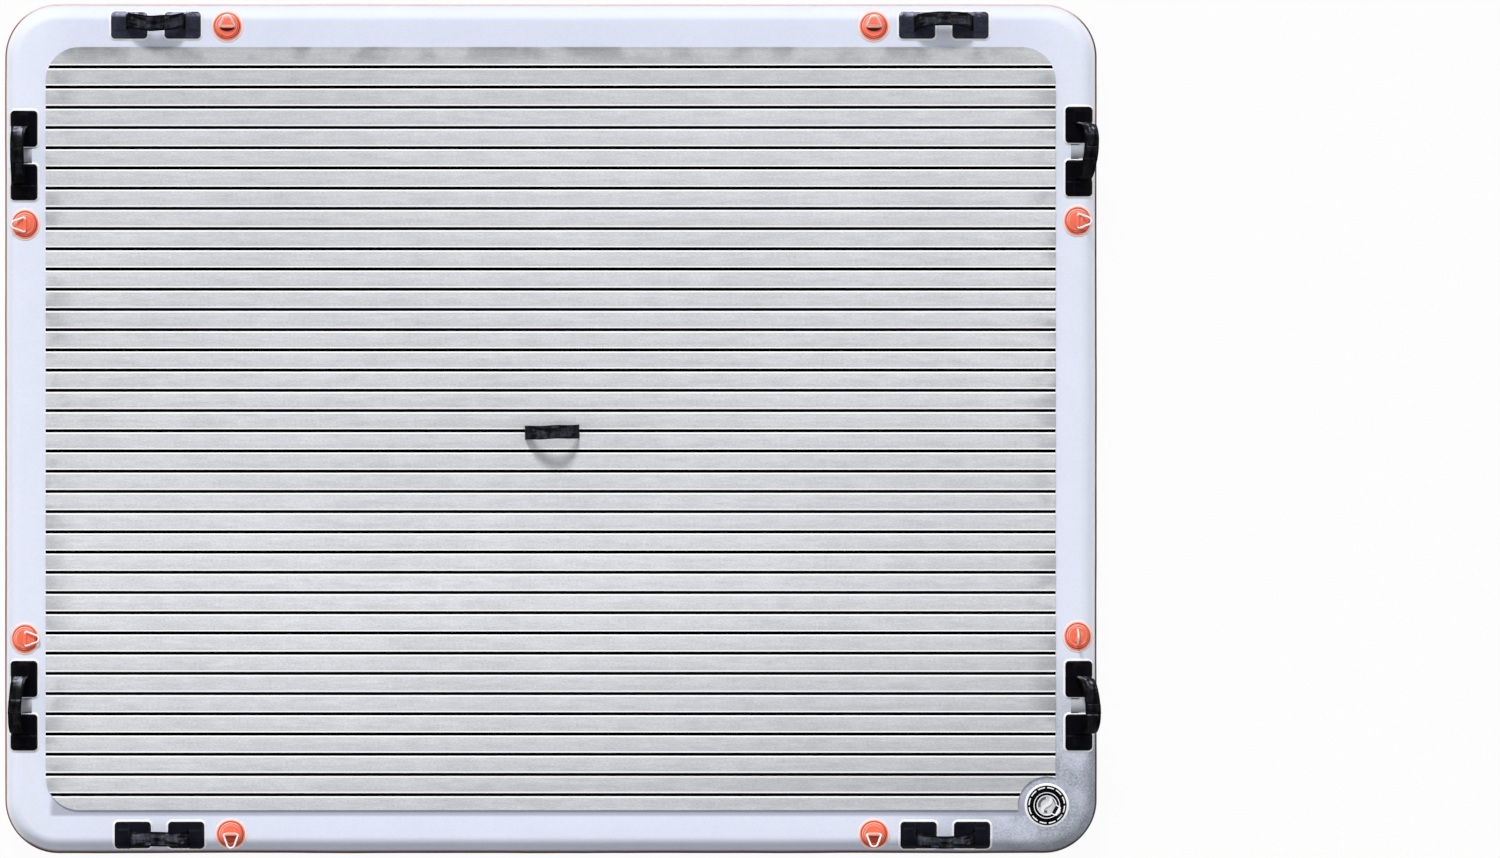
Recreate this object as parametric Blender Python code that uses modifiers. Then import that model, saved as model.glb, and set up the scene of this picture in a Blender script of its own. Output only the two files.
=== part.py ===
# Inflatable dock platform: an air chamber of two skins held flat by a drop-stitch core,
# with a grooved deck pad, eight webbing grab handles, eight D-rings, a centre carry
# strap and an inflation valve in one corner.
# Metres, +Z up. The origin is the middle of the underside and +X runs along the long side.

import math

import bmesh
import bpy
import numpy as np
from mathutils import Matrix, Vector

# Overall size, measured outside the rail band
platform_length = 2.743
platform_width = 2.134
platform_thickness = 0.152
outer_corner_radius = 0.135
rail_bulge = 0.043          # how far the rounded side stands out past the flat top
rail_straight = 0.006       # straight height in the middle of the rounded side
corner_steps = 8
rail_steps = 6

# Clearances shared by the whole part
touch_gap = 0.0003          # between pieces that touch
cut_overrun = 0.012         # how far a cut runs past what it cuts
patch_overrun = 0.002       # spare cloth round a patch before it is cut to its outline
flat_angle = math.radians(0.5)

# Air chamber
skin_thickness = 0.0012
seam_tape_thickness = 0.0012
seam_tape_height = 0.070
rail_band_thickness = 0.0012
rail_band_height = 0.060
web_thickness = 0.0008
curtain_thickness = 0.0008
curtain_pitch = 0.100
core_edge_clearance = 0.006

# Deck pad, whose edges keep a gap to the handle patches
deck_end_gap = 0.0255
deck_side_gap = 0.0305
deck_thickness = 0.005
deck_corner_radius = 0.085
groove_pitch = 0.0507
groove_shift = -0.0055       # middle groove from the pad's middle, so the back plank is the wider one
groove_width = 0.006
groove_depth = 0.002
narrowest_edge_plank = 0.020
valve_notch_radius = 0.0725
deck_arc_steps = 6

# Grab handles, measured along and across their edge of the platform
long_edge_handle_setback = 0.3815    # from the platform's end to the middle of a handle
short_edge_handle_setback = 0.372    # from the platform's side to the middle of a handle
handle_patch_length = 0.091
handle_patch_width = 0.066
handle_patch_corner = 0.010
handle_inset = 0.0465
patch_ply = 0.0012          # thickness of one layer of patch cloth
webbing_thickness = 0.002
webbing_width = 0.038
webbing_span = 0.144        # between the two pocket mouths
webbing_lead = 0.005        # from a patch's middle to where the webbing turns up
webbing_rise = 0.045
webbing_tail = 0.034
webbing_play = 0.0003       # round the webbing inside its pocket
pocket_setback = 0.0025     # roof of the pocket back from where the webbing turns up
pocket_border = 0.0025
webbing_steps = 10
patch_arc_steps = 3

# D-rings, each beside a handle and nearer the middle of the edge
long_edge_ring_spacing = 0.179
short_edge_ring_spacing = 0.174
ring_inset = 0.0485
ring_patch_diameter = 0.072
ring_disc_diameter = 0.060
ring_disc_ply = 0.0015
ring_patch_foreshortening_share = 0.935
ring_wire = 0.0045
ring_inner_width = 0.031
ring_depth = 0.0345         # from the middle of the bar to the middle of the tip
ring_bend_radius = 0.003
ring_tip_radius = 0.0095    # of the rounded point of the D
ring_lift = 0.003           # free height under the bar
keeper_length = 0.0285
keeper_reach = 0.012
keeper_thickness = 0.0016
keeper_play = 0.0004
ring_arc_steps = 7
ring_bend_steps = 2
disc_steps = 22
keeper_arc_steps = 6

# Centre carry strap
carry_span = 0.134          # between the middles of its two legs
carry_rise = 0.070
carry_width = 0.035
carry_thickness = 0.002
carry_place = (0.004, -0.009)
carry_turn = math.radians(1.3)
carry_steps = 16
carry_roundness = 1.6       # 2 is an ellipse, less is more pointed

# Inflation valve, heights counted from the top skin
valve_end_setback = 0.127
valve_side_setback = 0.122
valve_turn = math.radians(-28)
flange_radius = 0.0497
flange_edge_height = 0.0016
flange_slope_radius = 0.041
flange_step_radius = 0.037
flange_step_height = 0.0032
collar_radius = 0.034
collar_height = 0.005
collar_chamfer = 0.0005
cap_seat_height = 0.0022
barrel_radius = 0.021
barrel_depth = 0.034
bore_radius = 0.018
seat_lip_radius = 0.0145
seat_lip_height = 0.003
seat_lip_depth = 0.017
guide_web_depth = 0.011
guide_web_height = 0.003
guide_hole_radius = 0.0028
air_hole_radius = 0.0045
air_hole_circle = 0.0105
air_hole_count = 4
valve_steps = 24

# Valve cap, with its hinge strap and lock block
cap_radius = 0.02975
cap_thickness = 0.003
cap_dish_radius = 0.023
cap_dish_depth = 0.0012
cap_edge_round = 0.0006
cap_skirt_radius = 0.0176
cap_skirt_wall = 0.0017
cap_skirt_depth = 0.0025
cap_side_play = 0.00035
cap_grip_length = 0.036
cap_grip_width = 0.007
cap_strap_width = 0.010
cap_strap_thickness = 0.0016
hinge_block_width = 0.012
hinge_block_length = 0.005

# Valve plunger and spring
button_radius = 0.0055
button_height = 0.002
button_top_depth = 0.0005
stem_radius = 0.0025
seal_radius = 0.0165
seal_height = 0.0027
spring_radius = 0.004
spring_wire = 0.0009
spring_turns = 4
spring_turn_points = 8
plunger_steps = 16

# Valve backing nut
nut_radius = 0.029
nut_height = 0.008
nut_sides = 12
nut_bore_steps = 20
valve_well_play = 0.002

# Each edge of the platform, with the turn that points local +Y outwards from it
edge_turns = {
    "back": 0,
    "front": math.pi,
    "left": math.pi / 2,
    "right": -math.pi / 2,
}

# Handles: edge, side of the middle along world X or Y, and the sideways bow of the
# webbing as a share of its span
handle_bow_shares = {
    ("back", "left"): 0.08,
    ("back", "right"): 0.10,
    ("front", "left"): 0.08,
    ("front", "right"): 0.09,
    ("left", "back"): 0.11,
    ("left", "front"): 0.10,
    ("right", "back"): 0.24,
    ("right", "front"): 0.25,
}

# D-rings: edge, side, and how far each ring is swung up from lying outwards
ring_rest_degrees = {
    ("back", "left"): 38,
    ("back", "right"): 42,
    ("front", "left"): 6,
    ("front", "right"): 28,
    ("left", "back"): 5,
    ("left", "front"): 174,
    ("right", "back"): 4,
    ("right", "front"): 88,
}
side_signs = {"left": -1, "right": 1, "front": -1, "back": 1}

# How much further in from the edge the patches of each side are glued, and how far
# single handles and rings sit off their regular place, along world X or Y
edge_pull = {"back": 0.0095, "front": 0.0015, "left": 0.005, "right": 0.001}
handle_shifts = {("front", "left"): 0.009, ("left", "back"): -0.010, ("back", "right"): -0.004}
ring_shifts = {("front", "left"): 0.009, ("left", "back"): -0.009, ("left", "front"): -0.006}

# Sizes that follow from the ones above
skin_length = platform_length - 2 * (touch_gap + rail_band_thickness)
skin_width = platform_width - 2 * (touch_gap + rail_band_thickness)
skin_corner_radius = outer_corner_radius - touch_gap - rail_band_thickness
rail_height = (platform_thickness - rail_straight) / 2
middle_height = platform_thickness / 2
flat_half_length = skin_length / 2 - rail_bulge
flat_half_width = skin_width / 2 - rail_bulge
edge_band_inset = platform_length / 2 - flat_half_length
handle_across = {edge: edge_band_inset - handle_inset - pull for edge, pull in edge_pull.items()}
handle_reach = handle_inset + handle_patch_width / 2
handle_patch_spacing = webbing_span - 2 * webbing_lead
long_edge_handle_place = platform_length / 2 - long_edge_handle_setback
short_edge_handle_place = platform_width / 2 - short_edge_handle_setback
long_edge_ring_place = long_edge_handle_place - long_edge_ring_spacing
short_edge_ring_place = short_edge_handle_place - short_edge_ring_spacing
valve_place = (platform_length / 2 - valve_end_setback, valve_side_setback - platform_width / 2)
deck_length = platform_length - 2 * (handle_reach + deck_end_gap)
deck_width = platform_width - 2 * (handle_reach + deck_side_gap)
grooves_each_side = math.floor((deck_width / 2 - narrowest_edge_plank) / groove_pitch)
groove_count = 2 * grooves_each_side + 1
ring_across = {edge: edge_band_inset - ring_inset - pull for edge, pull in edge_pull.items()}
wire_radius = ring_wire / 2
ring_patch_top = touch_gap + patch_ply + ring_disc_ply
ring_bar_height = ring_patch_top + ring_lift + wire_radius
seam_tape_offset = skin_thickness + touch_gap
deck_bottom = platform_thickness + touch_gap
pocket_roof_start = webbing_span / 2 + pocket_setback
webbing_low = touch_gap + patch_ply + 1.5 * webbing_play
hinge_radius = collar_radius + 2 * touch_gap + hinge_block_length / 2
cap_seat_top = cap_seat_height + touch_gap
cap_strap_bottom = collar_height + touch_gap
cap_strap_top = cap_strap_bottom + cap_strap_thickness
cap_top = cap_seat_top + cap_thickness


# Scene helpers

def clear_scene():
    for item in list(bpy.data.objects):
        bpy.data.objects.remove(item, do_unlink=True)


def make_collection(name):
    collection = bpy.data.collections.new(name)
    bpy.context.scene.collection.children.link(collection)
    return collection


def make_material(name, color, roughness, metallic=0):
    material = bpy.data.materials.new(name)
    material.use_nodes = True
    material.diffuse_color = (*color, 1)
    shader = material.node_tree.nodes["Principled BSDF"]
    shader.inputs["Base Color"].default_value = (*color, 1)
    shader.inputs["Roughness"].default_value = roughness
    shader.inputs["Metallic"].default_value = metallic
    return material


clear_scene()
parts = make_collection("inflatable_dock_platform")
cutters = make_collection("inflatable_dock_platform_cutters")

white_skin = make_material("white_pvc", (0.80, 0.83, 0.90), 0.45)
clear_seam = make_material("seam_tape", (0.62, 0.64, 0.68), 0.5)
orange_band = make_material("orange_rail_band", (0.72, 0.16, 0.08), 0.5)
core_cloth = make_material("drop_stitch_cloth", (0.70, 0.70, 0.68), 0.9)
grey_foam = make_material("grey_foam", (0.62, 0.63, 0.66), 0.85)
black_patch = make_material("black_pvc", (0.012, 0.012, 0.016), 0.45)
black_webbing = make_material("black_webbing", (0.015, 0.015, 0.018), 0.7)
orange_patch = make_material("orange_pvc", (0.86, 0.20, 0.11), 0.5)
steel = make_material("stainless_steel", (0.72, 0.73, 0.75), 0.25, 1)
valve_black = make_material("valve_black", (0.012, 0.012, 0.014), 0.4)
valve_grey = make_material("valve_grey", (0.62, 0.63, 0.64), 0.4)


def mesh_from(bm, name):
    mesh = bpy.data.meshes.new(name)
    bm.to_mesh(mesh)
    bm.free()
    return mesh


def add_part(name, mesh, material, parent=None):
    if material.name not in mesh.materials:
        mesh.materials.clear()
        mesh.materials.append(material)
    part = bpy.data.objects.new(name, mesh)
    parts.objects.link(part)
    part.parent = parent
    return part


def add_guide(name, mesh):
    guide = bpy.data.objects.new(name, mesh)
    guide.hide_render = True
    guide.display_type = "WIRE"
    cutters.objects.link(guide)
    return guide


def add_mount(name, place, turn, parent=None):
    mount = bpy.data.objects.new(name, None)
    parts.objects.link(mount)
    mount.parent = parent
    mount.location = place
    mount.rotation_euler.z = turn
    return mount


def add_boolean(target, operand, operation):
    modifier = target.modifiers.new(operation.lower(), "BOOLEAN")
    modifier.object = operand
    modifier.operation = operation
    return modifier


def add_solidify(target, thickness, outward):
    modifier = target.modifiers.new("thickness", "SOLIDIFY")
    modifier.thickness = thickness
    modifier.offset = 1 if outward else -1
    modifier.use_even_offset = True
    return modifier


def finished_mesh(guide, name):
    bpy.context.view_layer.update()
    depsgraph = bpy.context.evaluated_depsgraph_get()
    mesh = bpy.data.meshes.new_from_object(guide.evaluated_get(depsgraph))
    mesh.name = name
    mesh.transform(guide.matrix_world)
    return mesh


def cut_mesh(guide, name):
    """The finished mesh of a cut or joined guide, its flat areas made whole again."""
    mesh = finished_mesh(guide, name)
    bm = bmesh.new()
    bm.from_mesh(mesh)
    bmesh.ops.dissolve_limit(bm, angle_limit=flat_angle, verts=bm.verts, edges=bm.edges)
    bm.to_mesh(mesh)
    bm.free()
    return mesh


def mirrored_mesh(mesh, name):
    copy = mesh.copy()
    copy.name = name
    copy.transform(Matrix.Scale(-1, 4, Vector((1, 0, 0))))
    copy.flip_normals()
    return copy


def smooth_round(mesh, degrees=40):
    mesh.shade_smooth()
    mesh.set_sharp_from_angle(angle=math.radians(degrees))


# Simple solids

def arc_points(center, radius, start, end, steps):
    angles = [start + (end - start) * step / steps for step in range(steps + 1)]
    return [(center[0] + radius * math.cos(a), center[1] + radius * math.sin(a)) for a in angles]


def rounded_rectangle(length, width, radius, steps):
    points = []
    for turn, sign_x, sign_y in ((0, 1, 1), (1, -1, 1), (2, -1, -1), (3, 1, -1)):
        center = (sign_x * (length / 2 - radius), sign_y * (width / 2 - radius))
        start = turn * math.pi / 2
        points += arc_points(center, radius, start, start + math.pi / 2, steps)
    return points


def outline_solid(name, outlines, thickness, upright=False):
    """A flat outline with any holes, given its thickness about its own plane."""
    curve = bpy.data.curves.new(name, "CURVE")
    curve.dimensions = "2D"
    curve.fill_mode = "BOTH"
    curve.extrude = thickness / 2
    for points in outlines:
        spline = curve.splines.new("POLY")
        spline.points.add(len(points) - 1)
        for point, (x, y) in zip(spline.points, points):
            point.co = (x, y, 0, 1)
        spline.use_cyclic_u = True
    drawn = bpy.data.objects.new(name, curve)
    cutters.objects.link(drawn)
    if upright:
        drawn.rotation_euler = (math.pi / 2, 0, math.pi / 2)
    mesh = finished_mesh(drawn, name)
    bpy.data.objects.remove(drawn, do_unlink=True)
    bm = bmesh.new()
    bm.from_mesh(mesh)
    bmesh.ops.remove_doubles(bm, verts=bm.verts, dist=touch_gap / 10)
    bm.to_mesh(mesh)
    bm.free()
    return mesh


def cylinder_mesh(name, radius, low, high, steps, centers=((0, 0),)):
    bm = bmesh.new()
    for x, y in centers:
        place = Matrix.Translation((x, y, (low + high) / 2))
        bmesh.ops.create_cone(bm, cap_ends=True, segments=steps, radius1=radius,
                              radius2=radius, depth=high - low, matrix=place)
    return mesh_from(bm, name)


def box_mesh(name, low, high):
    size = Vector(high) - Vector(low)
    middle = (Vector(high) + Vector(low)) / 2
    bm = bmesh.new()
    bmesh.ops.create_cube(bm, size=1, matrix=Matrix.Translation(middle) @ Matrix.Diagonal((*size, 1)))
    return mesh_from(bm, name)


def sweep_edges(bm, edges, moves):
    """Draw a row of edges out into rows of faces, one move after another."""
    for move in moves:
        grown = bmesh.ops.extrude_edge_only(bm, edges=edges)["geom"]
        moved = [item for item in grown if isinstance(item, bmesh.types.BMVert)]
        edges = [item for item in grown if isinstance(item, bmesh.types.BMEdge)]
        bmesh.ops.translate(bm, verts=moved, vec=move)


def turned_guide(name, profile, steps, closed):
    """A profile in the X-Z plane, listed down its outer side, turned round Z."""
    bm = bmesh.new()
    verts = [bm.verts.new((radius, 0, height)) for radius, height in profile]
    for first, second in zip(verts, verts[1:]):
        bm.edges.new((first, second))
    if closed:
        bm.edges.new((verts[-1], verts[0]))
    guide = add_guide(name, mesh_from(bm, name))
    screw = guide.modifiers.new("turn", "SCREW")
    screw.steps = steps
    screw.render_steps = steps
    screw.use_merge_vertices = True
    screw.merge_threshold = touch_gap / 10
    return guide


# Air chamber

def lift_surface(bm, distance):
    bm.normal_update()
    moves = [(vert, vert.normal * vert.calc_shell_factor() * distance) for vert in bm.verts]
    for vert, move in moves:
        vert.co += move


def chamber_surface(low, high, offset=0):
    """Outer face of the air chamber between two heights, moved out by offset."""
    squash = rail_bulge / rail_height
    flat_size = Vector((skin_length, skin_width, platform_thickness * squash))
    bm = bmesh.new()
    bmesh.ops.create_cube(bm, size=1, matrix=Matrix.Diagonal((*flat_size, 1)))
    uprights = [e for e in bm.edges if abs(e.verts[0].co.z - e.verts[1].co.z) > rail_bulge]
    bmesh.ops.bevel(bm, geom=uprights, offset=skin_corner_radius, affect="EDGES",
                    segments=corner_steps, profile=0.5)
    rims = [e for e in bm.edges if abs(e.verts[0].co.z - e.verts[1].co.z) < rail_bulge]
    bmesh.ops.bevel(bm, geom=rims, offset=rail_bulge, affect="EDGES",
                    segments=rail_steps, profile=0.5)
    bmesh.ops.scale(bm, verts=bm.verts, vec=(1, 1, 1 / squash))
    bmesh.ops.translate(bm, verts=bm.verts, vec=(0, 0, middle_height))
    for height, normal in ((low, (0, 0, -1)), (high, (0, 0, 1))):
        if 0 < height < platform_thickness:
            everything = bm.verts[:] + bm.edges[:] + bm.faces[:]
            bmesh.ops.bisect_plane(bm, geom=everything, plane_co=(0, 0, height),
                                   plane_no=normal, clear_outer=True)
    lift_surface(bm, offset)
    return bm


def build_skins():
    seam = touch_gap / 2
    spans = {
        "top_skin": (middle_height + seam, platform_thickness),
        "bottom_skin": (0, middle_height - seam),
    }
    for name, (low, high) in spans.items():
        mesh = mesh_from(chamber_surface(low, high), name)
        smooth_round(mesh)
        skin = add_part(name, mesh, white_skin)
        add_solidify(skin, skin_thickness, outward=False)
        if name == "top_skin":
            hole = cylinder_mesh("valve_hole", barrel_radius + touch_gap,
                                 platform_thickness - cut_overrun,
                                 platform_thickness + cut_overrun, valve_steps)
            cutter = add_guide("valve_hole", hole)
            cutter.location = (*valve_place, 0)
            add_boolean(skin, cutter, "DIFFERENCE")


def build_bands():
    bands = (
        ("seam_tape", seam_tape_height, -seam_tape_offset, seam_tape_thickness, clear_seam, False),
        ("rail_band", rail_band_height, touch_gap, rail_band_thickness, orange_band, True),
    )
    for name, height, offset, thickness, material, outward in bands:
        low = middle_height - height / 2
        mesh = mesh_from(chamber_surface(low, low + height, offset), name)
        smooth_round(mesh)
        band = add_part(name, mesh, material)
        add_solidify(band, thickness, outward)


def build_core():
    """Two woven webs joined by thin curtains, which stand in for the drop threads."""
    corner_inset = (skin_corner_radius - rail_bulge) * (1 - math.sqrt(0.5))
    length = 2 * (flat_half_length - corner_inset - core_edge_clearance)
    width = 2 * (flat_half_width - corner_inset - core_edge_clearance)
    low = skin_thickness + touch_gap
    high = platform_thickness - low
    channels = round(width / curtain_pitch)
    step = (width - curtain_thickness) / channels
    places = [-width / 2]
    for channel in range(channels):
        start = -width / 2 + curtain_thickness + channel * step
        places += [start, start + step - curtain_thickness]
    places.append(width / 2)

    bm = bmesh.new()
    row = [bm.verts.new((-length / 2, place, low)) for place in places]
    edges = [bm.edges.new(pair) for pair in zip(row, row[1:])]
    air_height = high - low - 2 * web_thickness
    sweep_edges(bm, edges, [(0, 0, rise) for rise in (web_thickness, air_height, web_thickness)])
    channel_area = air_height * curtain_thickness * 2
    gaps = [face for face in bm.faces if face.calc_area() > channel_area
            and abs(face.calc_center_median().z - middle_height) < web_thickness]
    bmesh.ops.delete(bm, geom=gaps, context="FACES")
    grown = bmesh.ops.extrude_face_region(bm, geom=bm.faces[:])["geom"]
    moved = [item for item in grown if isinstance(item, bmesh.types.BMVert)]
    bmesh.ops.translate(bm, verts=moved, vec=(length, 0, 0))
    bmesh.ops.recalc_face_normals(bm, faces=bm.faces)
    core = add_part("drop_stitch_core", mesh_from(bm, "drop_stitch_core"), core_cloth)
    well_bottom = platform_thickness - barrel_depth - valve_well_play
    well = cylinder_mesh("valve_well", nut_radius + valve_well_play, well_bottom,
                         platform_thickness + cut_overrun, valve_steps)
    well_guide = add_guide("valve_well", well)
    well_guide.location = (*valve_place, 0)
    add_boolean(core, well_guide, "DIFFERENCE")


# Deck pad and carry strap

def build_deck_pad():
    outline = rounded_rectangle(deck_length, deck_width, deck_corner_radius, deck_arc_steps)
    pad = add_part("deck_pad", outline_solid("deck_pad", [outline], deck_thickness), grey_foam)
    pad.location.z = deck_bottom + deck_thickness / 2

    notch = add_guide("valve_notch", cylinder_mesh("valve_notch", valve_notch_radius,
                                                   -cut_overrun, cut_overrun, valve_steps))
    notch.location = (*valve_place, deck_bottom)
    add_boolean(pad, notch, "DIFFERENCE")

    reach = deck_length / 2 + cut_overrun
    groove = box_mesh("grooves", (-reach, -groove_width / 2, -groove_depth),
                      (reach, groove_width / 2, cut_overrun))
    grooves = add_guide("grooves", groove)
    grooves.location = (0, groove_shift - groove_pitch * grooves_each_side, deck_bottom + deck_thickness)
    rows = grooves.modifiers.new("rows", "ARRAY")
    rows.count = groove_count
    rows.use_relative_offset = False
    rows.use_constant_offset = True
    rows.constant_offset_displace = (0, groove_pitch, 0)
    add_boolean(pad, grooves, "DIFFERENCE")

    slot_length = carry_thickness / 2 + webbing_play
    slot_width = carry_width / 2 + webbing_play
    for side in (-1, 1):
        middle = side * carry_span / 2
        slot = box_mesh("carry_slot", (middle - slot_length, -slot_width, -cut_overrun),
                        (middle + slot_length, slot_width, cut_overrun))
        slot_guide = add_guide("carry_slot", slot)
        slot_guide.location = (*carry_place, deck_bottom)
        slot_guide.rotation_euler.z = carry_turn
        add_boolean(pad, slot_guide, "DIFFERENCE")


def build_carry_strap():
    """A band that stands up out of two slots in the pad and arches over the hand."""
    half_span = carry_span / 2
    foot = deck_bottom
    spring_line = deck_bottom + deck_thickness
    power = 2 / carry_roundness
    angles = [math.pi * step / carry_steps for step in range(carry_steps + 1)]
    arch = [(half_span * math.copysign(abs(math.cos(a)) ** power, math.cos(a)),
             spring_line + carry_rise * abs(math.sin(a)) ** power) for a in angles]
    path = [(half_span, foot)] + arch + [(-half_span, foot)]
    bm = bmesh.new()
    verts = [bm.verts.new((x, -carry_width / 2, z)) for x, z in path]
    edges = [bm.edges.new(pair) for pair in zip(verts, verts[1:])]
    sweep_edges(bm, edges, [(0, carry_width, 0)])
    mesh = mesh_from(bm, "carry_strap")
    strap = add_part("carry_strap", mesh, black_webbing)
    strap.location = (*carry_place, 0)
    strap.rotation_euler.z = carry_turn
    thickness = add_solidify(strap, carry_thickness, outward=True)
    thickness.offset = 0
    smooth_round(mesh)


# Pieces that follow the rounded edge. Local X runs along the edge, local Y points out
# over the rail from where the flat top ends, and Z is counted from the top skin.

def edge_height(across):
    angles = np.linspace(0, math.pi / 2, rail_steps + 1)
    return float(np.interp(across, rail_bulge * np.sin(angles), rail_height * (np.cos(angles) - 1)))


def edge_knots(inner, outer):
    """Where the facets of the rounded side meet, between two places across the edge."""
    angles = [math.pi / 2 * step / rail_steps for step in range(rail_steps + 1)]
    knots = [rail_bulge * math.sin(angle) for angle in angles]
    return [knot for knot in knots if inner < knot < outer]


def edge_surface(along, across, offset):
    """A sheet over the edge, through the given places along and across it."""
    places = sorted([*across, *edge_knots(across[0], across[-1])])
    bm = bmesh.new()
    row = [bm.verts.new((along[0], place, edge_height(place))) for place in places]
    edges = [bm.edges.new(pair) for pair in zip(row, row[1:])]
    sweep_edges(bm, edges, [(end - start, 0, 0) for start, end in zip(along, along[1:])])
    bm.normal_update()
    if sum(face.normal.z for face in bm.faces) < 0:
        bmesh.ops.reverse_faces(bm, faces=bm.faces)
    lift_surface(bm, offset)
    return bm


def edge_layer(name, along, across, low, high):
    """A solid layer over the edge, between two heights above the skin."""
    guide = add_guide(name, mesh_from(edge_surface(along, across, low), name))
    add_solidify(guide, high - low, outward=True)
    return guide


def stepped_sheet(name, along, across, base, height_at):
    """A closed layer over the edge whose thickness is height_at(x, y) on the flat sheet."""
    bm = edge_surface(along, across, base)
    bm.normal_update()
    whole = bm.verts[:] + bm.edges[:] + bm.faces[:]
    upper = {vert: vert.normal * vert.calc_shell_factor() * height_at(vert.co.x, vert.co.y)
             for vert in bm.verts}
    bmesh.ops.duplicate(bm, geom=whole)
    for vert, move in upper.items():
        vert.co += move
    rims = [edge for edge in bm.edges if edge.is_boundary]
    bmesh.ops.bridge_loops(bm, edges=rims)
    bmesh.ops.recalc_face_normals(bm, faces=bm.faces)
    return mesh_from(bm, name)


# Grab handles

def handle_patch_mesh(edge):
    """Patch on the +X side, open towards the middle where the webbing goes in."""
    over_edge = handle_across[edge]
    middle = handle_patch_spacing / 2
    reach = handle_patch_length / 2 + patch_overrun
    over = handle_patch_width / 2 + patch_overrun
    tail_end = webbing_span / 2 + webbing_tail
    pocket_low = webbing_low - webbing_play
    pocket_high = webbing_low + webbing_thickness + webbing_play
    pocket_half = webbing_width / 2 + webbing_play
    bump_half = pocket_half + pocket_border
    bump_end = tail_end + pocket_border
    step_run = patch_ply / 2

    def cloth_height(x, y):
        if x < pocket_roof_start - step_run / 2:
            return patch_ply
        if x > bump_end + step_run / 2 or abs(y - over_edge) > bump_half + step_run / 2:
            return 2 * patch_ply
        return pocket_high + patch_ply - touch_gap

    along = (middle - reach, pocket_roof_start - step_run, pocket_roof_start,
             bump_end, bump_end + step_run, middle + reach)
    across = [over_edge + side for side in (
        -over, -bump_half - step_run, -bump_half, bump_half, bump_half + step_run, over)]
    name = f"handle_patch_{edge}"
    patch = add_guide(name, stepped_sheet(name, along, across, touch_gap, cloth_height))
    pocket = edge_layer("handle_patch_pocket",
                        (pocket_roof_start - step_run - patch_ply, tail_end + webbing_play),
                        (over_edge - pocket_half, over_edge + pocket_half),
                        pocket_low, pocket_high)
    corners = rounded_rectangle(handle_patch_length, handle_patch_width, handle_patch_corner,
                                patch_arc_steps)
    plan = add_guide("handle_patch_plan",
                     outline_solid("handle_patch_plan", [corners], platform_thickness))
    plan.location = (middle, over_edge, 0)
    add_boolean(patch, plan, "INTERSECT")
    add_boolean(patch, pocket, "DIFFERENCE")
    return cut_mesh(patch, name)


def handle_webbing_mesh(name, edge, bow):
    half_span = webbing_span / 2
    tail_end = half_span + webbing_tail
    arch = [half_span * (2 * step / webbing_steps - 1) for step in range(webbing_steps + 1)]
    along = [-tail_end] + arch + [tail_end]
    inner = handle_across[edge] - webbing_width / 2
    outer = handle_across[edge] + webbing_width / 2
    bm = edge_surface(along, (inner, outer), webbing_low)
    for vert in bm.verts:
        share = max(0, 1 - (vert.co.x / half_span) ** 2)
        across_share = (vert.co.y - inner) / webbing_width
        flat = webbing_low + across_share * edge_height(outer)
        vert.co.z += share * (flat - vert.co.z) + share * webbing_rise
        vert.co.y += share * bow
    guide = add_guide(f"{name}_form", mesh_from(bm, f"{name}_form"))
    add_solidify(guide, webbing_thickness, outward=True)
    finished = finished_mesh(guide, name)
    smooth_round(finished)
    return finished


def build_handles():
    patches = {edge: handle_patch_mesh(edge) for edge in edge_turns}
    mirrored = {edge: mirrored_mesh(patch, f"handle_patch_{edge}_mirrored")
                for edge, patch in patches.items()}
    for (edge, side), bow_share in handle_bow_shares.items():
        name = f"handle_{edge}_{side}"
        mount = edge_mount(name, edge, side, long_edge_handle_place, short_edge_handle_place,
                           handle_shifts)
        add_part(f"{name}_patch_1", mirrored[edge], black_patch, mount)
        add_part(f"{name}_patch_2", patches[edge], black_patch, mount)
        webbing = handle_webbing_mesh(f"{name}_webbing", edge, bow_share * webbing_span)
        add_part(f"{name}_webbing", webbing, black_webbing, mount)


def edge_mount(name, edge, side, long_place, short_place, shifts):
    sign = side_signs[edge]
    shift = shifts.get((edge, side), 0)
    if edge in ("back", "front"):
        place = (side_signs[side] * long_place + shift, sign * flat_half_width, platform_thickness)
    else:
        place = (sign * flat_half_length, side_signs[side] * short_place + shift, platform_thickness)
    return add_mount(f"{name}_mount", place, edge_turns[edge])


# D-rings

def ring_patch_mesh(edge):
    """Round base patch with a smaller, thicker disc on it."""
    name = f"ring_patch_{edge}"
    over_edge = ring_across[edge]
    reach = ring_patch_diameter / 2 + patch_overrun
    along = (-reach, reach)
    across = (over_edge - reach, over_edge + reach)
    patch = edge_layer(name, along, across, touch_gap, touch_gap + patch_ply)
    disc = edge_layer("ring_disc", along, across, touch_gap + patch_ply / 2, ring_patch_top)
    for target, diameter in ((patch, ring_patch_diameter), (disc, ring_disc_diameter)):
        plan = add_guide("ring_patch_plan", cylinder_mesh("ring_patch_plan", diameter / 2,
                                                          -middle_height, middle_height, disc_steps))
        plan.data.transform(Matrix.Scale(ring_patch_foreshortening_share, 4, Vector((0, 1, 0))))
        plan.location.y = over_edge
        add_boolean(target, plan, "INTERSECT")
    add_boolean(patch, disc, "UNION")
    return cut_mesh(patch, name)


def arch_mesh(name, radius, foot, length):
    """An upside-down U, drawn across the edge and extruded along it."""
    arch = arc_points((0, ring_bar_height), radius, 0, math.pi, keeper_arc_steps)
    outline = arch + [(-radius, foot), (radius, foot)]
    return outline_solid(name, [outline], length, upright=True)


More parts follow.
